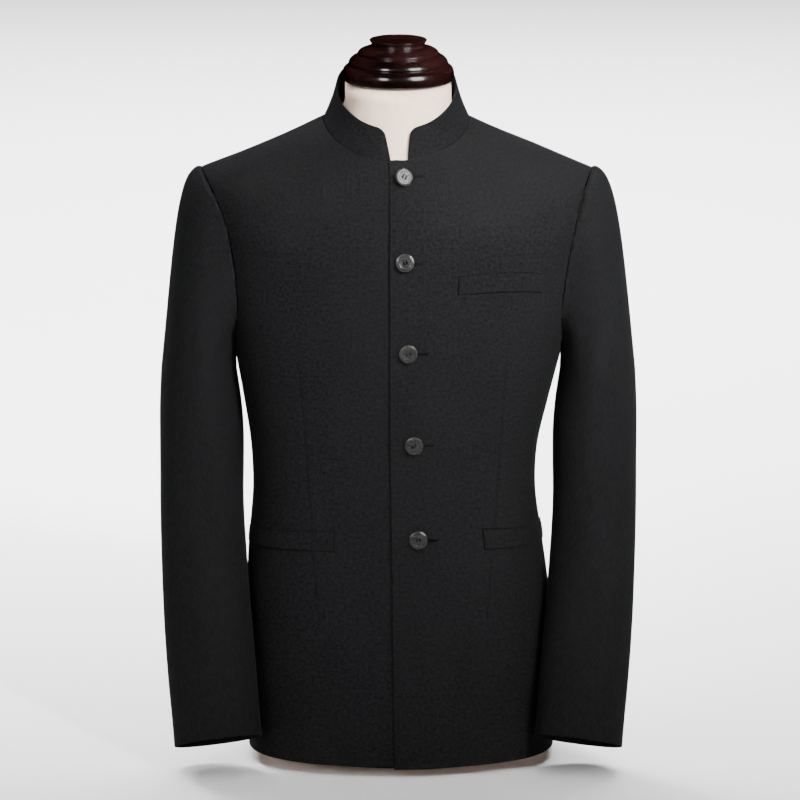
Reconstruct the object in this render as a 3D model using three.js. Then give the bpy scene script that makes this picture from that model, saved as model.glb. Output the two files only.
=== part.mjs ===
// A single-breasted tunic jacket with a stand collar, five buttons, one chest welt and two lower welts,
// worn by a limbless dress form with a turned wooden neck cap.
// Millimetres, +Z up. The front faces -Y and the wearer's left is +X.
import * as THREE from "three";

const DEGREE = Math.PI / 180;
const QUARTER = Math.PI / 2;

// Cloth and seams
const CLOTH = 2; // wall of the body and the sleeves
const COLLAR_WALL = 2.4;
const SEAM_GAP = 0.3;
const WELT_WALL = 1.5;
const WELT_GAP = 0.8;
const LAP_GAP = 0.9; // between the two fronts where they lap

// Front closing
const EDGE_TOP = -9.2; // x of the upper front's edge at the neck
const EDGE_HEM = -4; // x of the same edge at the hem
const UNDER_EDGE = 24; // x of the under front's edge, hidden by the upper front
const LAP_FULL = 27; // the upper front is fully raised up to this x
const LAP_END = 70; // and lies on the body again from this x
const NECK_FRONT = 679; // height of the neck opening at the centre front
const HEM_HEIGHT = 12;
const UPPER_FRONT_DROP = 2; // the upper front hangs this much lower

// Seams that run down the body, as angles round it from the centre front
const FRONT_SEAM = 80 * DEGREE;
const BACK_SEAM = 108 * DEGREE;
const UNDERARM_ANGLE = 91 * DEGREE;
const UNDERARM_HEIGHT = 453;
const UNDERARM_RISE = 0.058; // of the armhole's foot, in mm for each degree squared

// Grid sizes
const ROWS_TO_UNDERARM = 12;
const ROWS_TO_ARCH = 3;
const ROWS_OF_ARCH = 7;
const RIDGE_STEPS = 5;
const FRONT_NECK_STEPS = 8;
const BACK_NECK_STEPS = 5;
const SIDE_STEPS = 4;
const CAP_ROWS = 6;

// A body's share of rows below the arch of its shoulders
const ARCH_START = 0.72;

// The worn jacket. rows are its level sections: half width, depth to the front and to the back, sideways lean.
// ridge is the top line of the shoulders, carried on over the neck opening, and arch says where each column of
// cloth starts to bend over towards it, and how roundly. neck is the opening: an oval seen from above.
const JACKET = {
  frontPower: 2.35,
  backPower: 2.8,
  hem: HEM_HEIGHT,
  topHalf: 222,
  rows: [
    { z: 8, half: 167, front: 112, back: 121, lean: 3 },
    { z: 60, half: 167, front: 112, back: 123, lean: 2 },
    { z: 120, half: 166, front: 111, back: 121, lean: 1 },
    { z: 190, half: 165, front: 108, back: 113, lean: -1 },
    { z: 240, half: 160.5, front: 106, back: 104, lean: -3 },
    { z: 300, half: 154, front: 105, back: 98, lean: -4.3 },
    { z: 350, half: 156, front: 107, back: 100, lean: -4 },
    { z: 400, half: 165.5, front: 112, back: 106, lean: -2 },
    { z: 453, half: 177, front: 118, back: 111, lean: 0 },
    { z: 505, half: 187.5, front: 120, back: 114, lean: 1.5 },
    { z: 560, half: 196.5, front: 118, back: 114, lean: 3 },
    { z: 610, half: 206.5, front: 117, back: 113, lean: 2.5 },
    { z: 655, half: 222, front: 116, back: 112, lean: -1.5 },
    { z: 760, half: 222, front: 116, back: 112, lean: -1.5 },
  ],
  neck: { half: 79.5, y: 15, front: -79, back: 66 },
  ridge: [
    { x: 0, y: 15, z: 740 },
    { x: 25, y: 15, z: 735.5 },
    { x: 45, y: 15, z: 726 },
    { x: 66, y: 15, z: 714 },
    { x: 79.5, y: 15, z: 707.5 },
    { x: 105, y: 13, z: 696 },
    { x: 139, y: 10, z: 682 },
    { x: 176, y: 7, z: 667 },
    { x: 211, y: 5, z: 654 },
    { x: 222, y: 5, z: 650 },
  ],
  arch: [
    { x: 0, frontBase: 553, frontBend: 1.15, backBase: 612, backBend: 1 },
    { x: 45, frontBase: 556, frontBend: 1.24, backBase: 606, backBend: 1 },
    { x: 66, frontBase: 557, frontBend: 1.33, backBase: 592, backBend: 1.05 },
    { x: 80, frontBase: 558, frontBend: 1.37, backBase: 590, backBend: 1.1 },
    { x: 110, frontBase: 562, frontBend: 1.36, backBase: 585, backBend: 1.15 },
    { x: 150, frontBase: 570, frontBend: 1.25, backBase: 580, backBend: 1.15 },
    { x: 211, frontBase: 586, frontBend: 1.1, backBase: 578, backBend: 1.1 },
    { x: 222, frontBase: 584, frontBend: 1.1, backBase: 576, backBend: 1.1 },
  ],
};

// The dress form under it, clear of the cloth
const FORM_BOTTOM = 20;
const FORM_SHOULDER = 204; // half width over the form's shoulder ends
const SIDE_EASE = 8; // from the jacket's outside in to the form
const DEPTH_EASE = 8.5;
// From the jacket's ridge down to the form's, cloth included: it rests on the form's shoulders
const NECK_SIDE_DROP = 4.6;
const SHOULDER_DROP = 2.7;
const FORM = {
  frontPower: JACKET.frontPower,
  backPower: JACKET.backPower,
  hem: FORM_BOTTOM,
  topHalf: FORM_SHOULDER,
  rows: JACKET.rows.map(({ z, half, front, back, lean }) => ({
    z,
    half: Math.min(half - SIDE_EASE, FORM_SHOULDER),
    front: front - DEPTH_EASE,
    back: back - DEPTH_EASE,
    lean,
  })),
  neck: { half: 67, y: 14, front: -69, back: 56 },
  ridge: JACKET.ridge.map(({ x, y, z }) => ({ x, y, z: z - (x < 120 ? NECK_SIDE_DROP : SHOULDER_DROP) })),
  arch: JACKET.arch,
};

// The armhole's front and back edges, as distances from the jacket's middle at each height
const ARMHOLE_FRONT = [
  { z: 460, x: 176.2 },
  { z: 470, x: 174.8 },
  { z: 485, x: 174.6 },
  { z: 505, x: 175.4 },
  { z: 530, x: 177 },
  { z: 555, x: 179.8 },
  { z: 580, x: 183.8 },
  { z: 600, x: 188.5 },
  { z: 620, x: 194.5 },
  { z: 635, x: 200.5 },
  { z: 645, x: 205.5 },
  { z: 654, x: 211 },
];
const ARMHOLE_BACK = [
  { z: 470, x: 174 },
  { z: 485, x: 177 },
  { z: 505, x: 179.5 },
  { z: 530, x: 182.5 },
  { z: 555, x: 186 },
  { z: 580, x: 190 },
  { z: 600, x: 194.5 },
  { z: 620, x: 199.5 },
  { z: 635, x: 203.5 },
  { z: 645, x: 207.5 },
  { z: 654, x: 211 },
];
const SHOULDER_TIP = 211;

// The sleeve's rings from the upper arm to the cuff: centre, half sizes, and how far the front of the ring
// and its inner side are raised above its centre
const SLEEVE_RINGS = [
  { z: 432, x: 216.8, y: -1, halfX: 40.9, halfY: 68, frontRise: 0, innerRise: 0 },
  { z: 390, x: 214.9, y: -1, halfX: 44.5, halfY: 64.5, frontRise: 0, innerRise: 0 },
  { z: 335, x: 213.7, y: -6, halfX: 46.3, halfY: 61, frontRise: 1, innerRise: 0 },
  { z: 280, x: 213.9, y: -16, halfX: 46.4, halfY: 57.5, frontRise: 3, innerRise: 1 },
  { z: 234, x: 211.8, y: -29, halfX: 47, halfY: 54, frontRise: 6, innerRise: 2 },
  { z: 173, x: 208, y: -50, halfX: 47.2, halfY: 50, frontRise: 9, innerRise: 3 },
  { z: 100, x: 202, y: -71, halfX: 47.4, halfY: 47, frontRise: 12, innerRise: 5 },
  { z: 34, x: 196, y: -84, halfX: 47.8, halfY: 44.5, frontRise: 15, innerRise: 6.5 },
];
const SLEEVE_ROW_HEIGHTS = [411, 390, 350, 310, 275, 240, 205, 165, 120, 77, 34];
const CAP_TOP_REACH = 26; // how far the sleeve head runs out level before it turns down
const CAP_TOP_LIFT = 4;
const CAP_SIDE_REACH = 13;
const CAP_FALL = 158; // length of the fall's curve below the sleeve head
const CAP_LEAN = 0.095;
const CAP_FOOT = 6;

// The stand collar: its top edge, an oval seen from above, and its two open ends at the front
const COLLAR_TOP = { half: 65, y: 10, front: -66.5, back: 66 };
const COLLAR_TOP_HEIGHTS = [
  { y: -66.5, z: 708.5 },
  { y: -52, z: 715 },
  { y: -36, z: 722.5 },
  { y: -10, z: 733 },
  { y: 10, z: 744 },
  { y: 30, z: 755 },
  { y: 66, z: 768 },
];
const COLLAR_END_RIGHT = { base: -5.8, top: -14 };
const COLLAR_END_LEFT = { base: 12, top: 15.5 };
const COLLAR_CORNER = 8; // radius of the collar's rounded front corners
const COLLAR_SEAM_GAP = 0.9;
const COLLAR_SAG = 1.4; // the collar curves in a little before it stands up
const COLLAR_STEPS = 24;
const COLLAR_ROWS = 4;

// Buttons, from the neck down
const BUTTON = { radius: 10, thickness: 3.4, shankRadius: 3, shank: 1, rim: 2.2, dish: 0.8 };
const BUTTONS = [
  { x: 5, z: 660.8 },
  { x: 7.3, z: 572.7 },
  { x: 10.6, z: 474.3 },
  { x: 17, z: 371.3 },
  { x: 21.4, z: 265.3 },
];

// Pocket welts: heights of their upper and lower edges at the inner and outer ends, and how far each edge bows up
const CHEST_WELT = {
  inner: 65,
  outer: 156.6,
  top: { inner: 557, outer: 553.8, bow: 4.2 },
  foot: { inner: 536.7, outer: 533.4, bow: 2.5 },
};
const LOWER_WELT = {
  length: 134,
  top: { inner: 274, outer: 261, bow: 0 },
  foot: { inner: 250.5, outer: 243.5, bow: 0 },
};
const LOWER_WELT_INNER = { left: 90.6, right: -68.5 };

// The turned neck cap's profile, from its underside out and up to its dished top
const CAP_PROFILE = [
  { r: 0, z: 747.6 },
  { r: 53, z: 747.6 },
  { r: 57.5, z: 750 },
  { r: 60, z: 754.4 },
  { r: 60.4, z: 759.4 },
  { r: 58.8, z: 764.3 },
  { r: 55.6, z: 767 },
  { r: 53.6, z: 767.8 },
  { r: 54, z: 769.6 },
  { r: 52.6, z: 773.2 },
  { r: 49, z: 776.6 },
  { r: 45, z: 778.2 },
  { r: 43.4, z: 779 },
  { r: 43.8, z: 780.8 },
  { r: 41.6, z: 783.6 },
  { r: 37, z: 785.8 },
  { r: 31.6, z: 787 },
  { r: 28.8, z: 788.4 },
  { r: 29.2, z: 790.8 },
  { r: 30.6, z: 793 },
  { r: 31.2, z: 794.4 },
  { r: 30.4, z: 795.2 },
  { r: 28.6, z: 795.4 },
  { r: 24, z: 794.2 },
  { r: 0, z: 793.2 },
];
const NECK_TOP = 747.3;
const NECK_RADIUS = 57.4;
const NECK_FOOT = 733; // the form's neck is a plain cylinder from here up
const FORM_ROWS = 10;
const FORM_ARCH_ROWS = 6;
const FORM_NECK_STEPS = 5;
const FORM_RIDGE_STEPS = 9;
const BASE = { halfX: 128, halfY: 78, y: 5 };

const clothBlack = { color: 0x17171a, roughness: 0.92, metalness: 0 };
const buttonGrey = { color: 0x26272a, roughness: 0.35, metalness: 0 };
const linen = { color: 0xd9cdbf, roughness: 0.9, metalness: 0 };
const darkWood = { color: 0x2a0f0d, roughness: 0.25, metalness: 0 };

const jacket = new THREE.Group();

// Reads one column of a table at a place between its rows, on a smooth curve through them.
function readColumn(rows, key, place, column) {
  const last = rows.length - 1;
  if (place <= rows[0][key]) return rows[0][column];
  if (place >= rows[last][key]) return rows[last][column];
  const slope = (i) => {
    const a = rows[Math.max(i - 1, 0)];
    const b = rows[Math.min(i + 1, last)];
    return (b[column] - a[column]) / (b[key] - a[key]);
  };
  let i = 0;
  while (rows[i + 1][key] < place) i += 1;
  const step = rows[i + 1][key] - rows[i][key];
  const t = (place - rows[i][key]) / step;
  const from = rows[i][column] * (1 + 2 * t) * (1 - t) ** 2 + slope(i) * step * t * (1 - t) ** 2;
  const to = rows[i + 1][column] * (3 - 2 * t) * t ** 2 - slope(i + 1) * step * (1 - t) * t ** 2;
  return from + to;
}

const mix = (a, b, t) => a + (b - a) * t;
const smooth = (low, high, value) => THREE.MathUtils.smoothstep(value, low, high);
const shareOf = (sine, power) => Math.sign(sine) * Math.abs(sine) ** (2 / power);

// One column of a body: where it ends on the neck opening or the shoulders' ridge, and how it gets there.
function columnOf(cut, theta) {
  const isFront = Math.abs(theta) < QUARTER;
  const power = isFront ? cut.frontPower : cut.backPower;
  const across = shareOf(Math.sin(theta), power);
  const away = Math.min(Math.abs(cut.topHalf * across), cut.topHalf);
  return {
    depth: isFront ? "front" : "back",
    sign: isFront ? -1 : 1,
    across,
    along: Math.abs(shareOf(Math.cos(theta), power)),
    away,
    ridgeY: readColumn(cut.ridge, "x", away, "y"),
    ridgeZ: readColumn(cut.ridge, "x", away, "z"),
    base: readColumn(cut.arch, "x", away, isFront ? "frontBase" : "backBase"),
    bendPower: readColumn(cut.arch, "x", away, isFront ? "frontBend" : "backBend"),
  };
}

// The point of a column at a height below its arch.
function sectionPoint(cut, column, z) {
  const x = readColumn(cut.rows, "z", z, "half") * column.across + readColumn(cut.rows, "z", z, "lean");
  const y = column.sign * readColumn(cut.rows, "z", z, column.depth) * column.along;
  return new THREE.Vector3(x, y, z);
}

// The point of a column on its arch, from its base (0) over to the ridge (a quarter turn).
function archPoint(cut, column, bend) {
  const point = sectionPoint(cut, column, mix(column.base, column.ridgeZ, Math.sin(bend)));
  point.y = mix(column.ridgeY, point.y, Math.cos(bend) ** column.bendPower);
  return point;
}

// How far a column bends before it meets the neck opening, or the ridge beside it.
function bendToTop(cut, column) {
  if (column.away >= cut.neck.half) return QUARTER;
  const reach = Math.sqrt(1 - (column.away / cut.neck.half) ** 2);
  const edge = mix(cut.neck.y, cut.neck[column.depth], reach);
  let near = 0;
  let far = QUARTER;
  for (let i = 0; i < 30; i += 1) {
    const middle = (near + far) / 2;
    if (column.sign * (archPoint(cut, column, middle).y - edge) > 0) near = middle;
    else far = middle;
  }
  return (near + far) / 2;
}

// A body's surface: theta runs round it from the centre front, v from the hem (0) to the neckline or ridge (1).
// Below the arch it is a stack of rounded level sections. Above, each column bends over towards the ridge.
function bodyPoint(cut, theta, v) {
  const column = columnOf(cut, theta);
  if (v <= ARCH_START) return sectionPoint(cut, column, mix(cut.hem, column.base, v / ARCH_START));
  return archPoint(cut, column, (bendToTop(cut, column) * (v - ARCH_START)) / (1 - ARCH_START));
}

// The neck opening's edge at an angle round it from the centre front.
function neckEdge(cut, angle) {
  const power = Math.cos(angle) > 0 ? cut.frontPower : cut.backPower;
  const turn = Math.asin(Math.abs((cut.neck.half * Math.sin(angle)) / cut.topHalf) ** (power / 2));
  const side = Math.sin(angle) < 0 ? -1 : 1;
  return bodyPoint(cut, side * (Math.cos(angle) > 0 ? turn : Math.PI - turn), 1);
}

const jacketPoint = (theta, v) => bodyPoint(JACKET, theta, v);

// The jacket's outward direction at a place on it.
function jacketNormal(theta, v) {
  const small = 0.004;
  const low = Math.min(v, 1 - small);
  const round = jacketPoint(theta + small, v).sub(jacketPoint(theta - small, v));
  const up = jacketPoint(theta, Math.min(1, low + small)).sub(jacketPoint(theta, Math.max(0, low - small)));
  const normal = round.cross(up);
  const isRidge = v > 1 - small && columnOf(JACKET, theta).away > JACKET.neck.half - small;
  if (isRidge) normal.y = 0; // the front and the back meet there
  return normal.normalize();
}

// The angle between two others at which a point of row v passes a test, by halving.
function angleWhere(v, low, high, isPast) {
  let near = low;
  let far = high;
  for (let i = 0; i < 40; i += 1) {
    const middle = (near + far) / 2;
    if (isPast(jacketPoint(middle, v))) far = middle;
    else near = middle;
  }
  return (near + far) / 2;
}

// The share of rows at which a column reaches a height below the arch.
function rowAtHeight(theta, z) {
  let near = 0;
  let far = 1;
  for (let i = 0; i < 40; i += 1) {
    const middle = (near + far) / 2;
    if (jacketPoint(theta, middle).z > z) far = middle;
    else near = middle;
  }
  return (near + far) / 2;
}

// The angle at which row v stands at a given x near the front or the back.
function angleAtX(x, v, isFront) {
  if (isFront) return angleWhere(v, -QUARTER, QUARTER, (point) => point.x > x);
  const turned = angleWhere(v, QUARTER, 3 * QUARTER, (point) => point.x < x);
  return turned > Math.PI ? turned - 2 * Math.PI : turned;
}

const armholeFoot = (angle) => UNDERARM_HEIGHT + UNDERARM_RISE * ((Math.abs(angle) - UNDERARM_ANGLE) / DEGREE) ** 2;

// Rows of a panel: evenly up to the armhole's foot, then to the arch, then round the arch.
function panelRows(footRow) {
  const rows = [];
  for (let j = 0; j < ROWS_TO_UNDERARM; j += 1) rows.push((footRow * j) / ROWS_TO_UNDERARM);
  for (let j = 0; j < ROWS_TO_ARCH; j += 1) rows.push(mix(footRow, ARCH_START, j / ROWS_TO_ARCH));
  for (let j = 0; j <= ROWS_OF_ARCH; j += 1) rows.push(mix(ARCH_START, 1, j / ROWS_OF_ARCH));
  return rows;
}

// The angle whose column ends at a given x on the top line.
function angleOfTop(x, hand, isFront) {
  const power = isFront ? JACKET.frontPower : JACKET.backPower;
  const turn = Math.sign(x) * Math.asin((Math.abs(x) / JACKET.topHalf) ** (power / 2));
  return isFront ? turn : hand * Math.PI - turn;
}

// The x of each column's end on the top line: round the neck, then evenly along the shoulder.
function topColumns(start, hand, neckSteps) {
  const first = Math.asin(THREE.MathUtils.clamp((start * hand) / JACKET.neck.half, -1, 1));
  const columns = [];
  for (let i = 0; i < neckSteps; i += 1) {
    columns.push(hand * JACKET.neck.half * Math.sin(mix(first, QUARTER, i / neckSteps)));
  }
  for (let i = 0; i <= RIDGE_STEPS; i += 1) {
    columns.push(hand * mix(JACKET.neck.half, SHOULDER_TIP, i / RIDGE_STEPS));
  }
  return columns;
}

// Angles of a front or back panel at each column and row. edgeX gives the x of its centre edge at a height.
function panelAngles(hand, isFront, edgeX, neckSteps) {
  const seam = hand * (isFront ? FRONT_SEAM : BACK_SEAM);
  const rows = panelRows(rowAtHeight(seam, armholeFoot(seam)));
  const armhole = isFront ? ARMHOLE_FRONT : ARMHOLE_BACK;
  const columns = topColumns(edgeX(NECK_FRONT), hand, neckSteps);
  const topAngles = columns.map((x) => angleOfTop(x, hand, isFront));
  const steps = topAngles.length - 1;
  const topShares = topAngles.map((a) => (a - topAngles[0]) / (topAngles[steps] - topAngles[0]));
  return rows.map((v, j) => {
    const height = jacketPoint(seam, v).z;
    let edge = isFront ? angleAtX(edgeX(height), v, true) : hand * Math.PI;
    let outer = seam;
    if (j > ROWS_TO_UNDERARM) {
      const inner = isFront ? edge : seam;
      const isPast = (point) => {
        const lean = readColumn(JACKET.rows, "z", point.z, "lean");
        return hand * (point.x - lean) > readColumn(armhole, "z", point.z, "x");
      };
      outer = isFront
        ? angleWhere(v, inner, hand * QUARTER, isPast)
        : angleWhere(v, hand * Math.PI, hand * QUARTER, isPast);
    }
    if (j === rows.length - 1) {
      edge = topAngles[0];
      outer = topAngles[steps];
    }
    const topness = smooth(0.4, 1, v);
    return topShares.map((share, i) => ({ theta: mix(edge, outer, mix(i / steps, share, topness)), v }));
  });
}

// One closed solid from faces given as lists of shared points, turned so that it faces out.
function solidOf(faces) {
  const numbers = new Map();
  const positions = [];
  const index = [];
  const numberOf = (point) => {
    if (!numbers.has(point)) {
      numbers.set(point, positions.length / 3);
      positions.push(point.x, point.y, point.z);
    }
    return numbers.get(point);
  };
  let volume = 0;
  for (const face of faces) {
    for (let i = 1; i + 1 < face.length; i += 1) {
      const [a, b, c] = [face[0], face[i], face[i + 1]];
      if (a === b || b === c || a === c) continue;
      volume += a.dot(b.clone().cross(c));
      index.push(numberOf(a), numberOf(b), numberOf(c));
    }
  }
  if (volume < 0) index.reverse();
  const geometry = new THREE.BufferGeometry();
  geometry.setAttribute("position", new THREE.Float32BufferAttribute(positions, 3));
  geometry.setIndex(index);
  geometry.computeVertexNormals();
  return geometry;
}

function addMesh(name, geometry, look) {
  const mesh = new THREE.Mesh(geometry, new THREE.MeshStandardMaterial(look));
  mesh.name = name;
  jacket.add(mesh);
  return mesh;
}

// A wall of cloth between an outer and an inner grid of points, closed round its rim.
function wallOf(outer, inner) {
  const faces = [];
  const rows = outer.length - 1;
  const columns = outer[0].length - 1;
  for (let j = 0; j < rows; j += 1) {
    for (let i = 0; i < columns; i += 1) {
      faces.push([outer[j][i], outer[j][i + 1], outer[j + 1][i + 1], outer[j + 1][i]]);
      faces.push([inner[j][i], inner[j + 1][i], inner[j + 1][i + 1], inner[j][i + 1]]);
    }
  }
  for (let i = 0; i < columns; i += 1) {
    faces.push([outer[0][i + 1], outer[0][i], inner[0][i], inner[0][i + 1]]);
    faces.push([outer[rows][i], outer[rows][i + 1], inner[rows][i + 1], inner[rows][i]]);
  }
  for (let j = 0; j < rows; j += 1) {
    faces.push([outer[j][0], outer[j + 1][0], inner[j + 1][0], inner[j][0]]);
    faces.push([outer[j + 1][columns], outer[j][columns], inner[j][columns], inner[j + 1][columns]]);
  }
  return solidOf(faces);
}

// Draws the four sides of a grid in by half a seam's gap, so that neighbours stay clear of each other.
function drawIn(grid, sides) {
  const rows = grid.length - 1;
  const columns = grid[0].length - 1;
  const pull = (point, towards) => {
    const way = towards.clone().sub(point).setLength(SEAM_GAP / 2);
    return point.clone().add(way);
  };
  const drawn = grid.map((row) => row.slice());
  if (sides.includes("start")) for (let j = 0; j <= rows; j += 1) drawn[j][0] = pull(grid[j][0], grid[j][1]);
  if (sides.includes("end")) {
    for (let j = 0; j <= rows; j += 1) drawn[j][columns] = pull(grid[j][columns], grid[j][columns - 1]);
  }
  if (sides.includes("top")) {
    for (let i = 0; i <= columns; i += 1) drawn[rows][i] = pull(drawn[rows][i], drawn[rows - 1][i]);
  }
  return drawn;
}

// A body panel's outer and inner points from its angles, raised off the body by lift(x).
function clothGrids(angles, lift, wall, sides) {
  const place = (raise) =>
    angles.map((row) =>
      row.map(({ theta, v }) => {
        const point = jacketPoint(theta, v);
        return point.addScaledVector(jacketNormal(theta, v), raise(point.x));
      }),
    );
  const outer = place((x) => lift(x));
  const inner = place((x) => lift(x) - wall);
  return { outer: drawIn(outer, sides), inner: drawIn(inner, sides), seam: outer };
}

const upperLift = (x) => (CLOTH + LAP_GAP) * (1 - smooth(LAP_FULL, LAP_END, x));
const noLift = () => 0;
const upperEdge = (z) => mix(EDGE_HEM, EDGE_TOP, THREE.MathUtils.clamp(z / 400, 0, 1));

// Lets the upper front hang a little lower than the rest, by moving its lowest row down.
function dropHem(grids) {
  for (const grid of [grids.outer, grids.inner]) {
    grid[0].forEach((point) => {
      point.z -= UPPER_FRONT_DROP * (1 - smooth(0, 120, Math.abs(point.x)));
    });
  }
  return grids;
}

const leftFrontAngles = panelAngles(1, true, upperEdge, FRONT_NECK_STEPS);
const rightFrontAngles = panelAngles(-1, true, () => UNDER_EDGE, FRONT_NECK_STEPS);
const leftBackAngles = panelAngles(1, false, () => 0, BACK_NECK_STEPS);
const rightBackAngles = panelAngles(-1, false, () => 0, BACK_NECK_STEPS);

const leftFront = dropHem(clothGrids(leftFrontAngles, upperLift, CLOTH, ["end", "top"]));
const rightFront = clothGrids(rightFrontAngles, noLift, CLOTH, ["end", "top"]);
const leftBack = clothGrids(leftBackAngles, noLift, CLOTH, ["start", "end", "top"]);
const rightBack = clothGrids(rightBackAngles, noLift, CLOTH, ["start", "end", "top"]);
addMesh("front_left", wallOf(leftFront.outer, leftFront.inner), clothBlack);
addMesh("front_right", wallOf(rightFront.outer, rightFront.inner), clothBlack);
addMesh("back_left", wallOf(leftBack.outer, leftBack.inner), clothBlack);
addMesh("back_right", wallOf(rightBack.outer, rightBack.inner), clothBlack);

// The side body between the front and back seams, up to the foot of the armhole.
function sideGrids(hand) {
  const angles = [];
  for (let j = 0; j <= ROWS_TO_UNDERARM; j += 1) {
    const row = [];
    for (let i = 0; i <= SIDE_STEPS; i += 1) {
      const theta = hand * mix(FRONT_SEAM, BACK_SEAM, i / SIDE_STEPS);
      row.push({ theta, v: (rowAtHeight(theta, armholeFoot(theta)) * j) / ROWS_TO_UNDERARM });
    }
    angles.push(row);
  }
  return clothGrids(angles, noLift, CLOTH, ["start", "end"]);
}

const leftSide = sideGrids(1);
const rightSide = sideGrids(-1);
addMesh("side_left", wallOf(leftSide.outer, leftSide.inner), clothBlack);
addMesh("side_right", wallOf(rightSide.outer, rightSide.inner), clothBlack);

// The armhole's ring of seam points, from the shoulder tip down the front, under the arm and up the back.
function armholeRing(front, side, back) {
  const lastOf = (row) => row[row.length - 1];
  const frontEdge = front.seam.map(lastOf).slice(ROWS_TO_UNDERARM).reverse();
  const foot = side.seam[ROWS_TO_UNDERARM].slice(1, -1);
  const backEdge = back.seam.map(lastOf).slice(ROWS_TO_UNDERARM, -1);
  return [...frontEdge, ...foot, ...backEdge];
}

// The angle of each ring point round the sleeve: 0 at the shoulder, 180 degrees under the arm.
function sleeveAngles(ring) {
  const lowest = ring.reduce((best, point, k) => (point.z < ring[best].z ? k : best), 0);
  const lengths = ring.map((point, k) => point.distanceTo(ring[(k + 1) % ring.length]));
  const sum = (from, to) => lengths.slice(from, to).reduce((a, b) => a + b, 0);
  const down = sum(0, lowest);
  const up = sum(lowest, ring.length);
  return ring.map((_, k) => {
    if (k <= lowest) return (Math.PI * sum(0, k)) / down;
    return Math.PI + (Math.PI * sum(lowest, k)) / up;
  });
}

// A point of the sleeve below its cap, at a height of the ring's centre.
function sleeveRingPoint(hand, z, angle) {
  const read = (column) => readColumn([...SLEEVE_RINGS].reverse(), "z", z, column);
  const out = Math.cos(angle);
  const forward = Math.sin(angle);
  return new THREE.Vector3(
    hand * (read("x") + read("halfX") * out),
    read("y") - read("halfY") * forward,
    z + read("frontRise") * forward - read("innerRise") * out,
  );
}

// The sleeve cap's curve from an armhole point to the ring of the upper arm.
function capPoint(hand, start, angle, t) {
  const top = (1 + Math.cos(angle)) / 2;
  const end = sleeveRingPoint(hand, SLEEVE_RINGS[0].z, angle);
  const reach = mix(CAP_SIDE_REACH * Math.sin(Math.PI * top), CAP_TOP_REACH, top ** 3);
  const first = start.clone().add(new THREE.Vector3(hand * reach, 0, CAP_TOP_LIFT * top ** 4));
  const rise = mix(CAP_FOOT, CAP_FALL, top ** 1.7);
  const second = end.clone().add(new THREE.Vector3(-hand * rise * CAP_LEAN * top, 0, rise));
  return new THREE.CubicBezierCurve3(start, first, second, end).getPoint(t);
}

// The sleeve's outer and inner grids, one column for each armhole point.
function sleeveGrids(hand, ring) {
  const angles = sleeveAngles(ring);
  const columns = ring.map((seam, k) => {
    const start = seam.clone().add(new THREE.Vector3(hand * SEAM_GAP * 1.5, 0, 0));
    const points = [];
    for (let j = 0; j <= CAP_ROWS; j += 1) points.push(capPoint(hand, start, angles[k], j / CAP_ROWS));
    SLEEVE_ROW_HEIGHTS.forEach((z) => points.push(sleeveRingPoint(hand, z, angles[k])));
    return points;
  });
  const count = columns.length;
  const rows = columns[0].length;
  const outer = [];
  const inner = [];
  for (let j = 0; j < rows; j += 1) {
    outer.push(columns.map((column) => column[j]));
    inner.push(
      columns.map((column, k) => {
        const before = columns[(k + count - 1) % count][j];
        const after = columns[(k + 1) % count][j];
        const above = column[Math.max(j - 1, 0)];
        const below = column[Math.min(j + 1, rows - 1)];
        const normal = after.clone().sub(before).cross(below.clone().sub(above)).normalize();
        return column[j].clone().addScaledVector(normal, -hand * CLOTH);
      }),
    );
  }
  return { outer, inner };
}

// Cuts the sleeve into its upper piece, over the arm, and its under piece, between two columns of the ring.
function addSleeve(side, hand, front, sideBody, back) {
  const ring = armholeRing(front, sideBody, back);
  const grids = sleeveGrids(hand, ring);
  const count = ring.length;
  const frontCut = ROWS_OF_ARCH + ROWS_TO_ARCH + 1; // out of sight from the front
  const backCut = count - ROWS_OF_ARCH;
  const under = Array.from({ length: backCut - frontCut + 1 }, (_, i) => frontCut + i);
  const upper = Array.from({ length: count - backCut + frontCut + 1 }, (_, i) => (backCut + i) % count);
  const take = (grid, columns) => grid.map((row) => columns.map((k) => row[k]));
  for (const [name, columns] of [
    ["upper", upper],
    ["under", under],
  ]) {
    const outer = drawIn(take(grids.outer, columns), ["start", "end"]);
    const inner = drawIn(take(grids.inner, columns), ["start", "end"]);
    addMesh(`sleeve_${side}_${name}`, wallOf(outer, inner), clothBlack);
  }
}

addSleeve("left", 1, leftFront, leftSide, leftBack);
addSleeve("right", -1, rightFront, rightSide, rightBack);

// A point of the stand collar, between its seam with the body (rise 0) and its top edge (rise 1).
function collarPoint(baseAngle, topAngle, rise) {
  const base = neckEdge(JACKET, baseAngle);
  base.z += COLLAR_SEAM_GAP;
  const edge = Math.cos(topAngle) > 0 ? COLLAR_TOP.front : COLLAR_TOP.back;
  const topY = mix(COLLAR_TOP.y, edge, Math.abs(Math.cos(topAngle)));
  const lean = readColumn(JACKET.rows, "z", base.z, "lean");
  const topX = COLLAR_TOP.half * Math.sin(topAngle) + lean;
  const top = new THREE.Vector3(topX, topY, readColumn(COLLAR_TOP_HEIGHTS, "y", topY, "z"));
  const sag = COLLAR_SAG * Math.sin(Math.PI * rise);
  const inward = new THREE.Vector3(-Math.sin(topAngle), Math.cos(topAngle), 0);
  return base.lerp(top, rise).addScaledVector(inward, sag);
}

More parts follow.
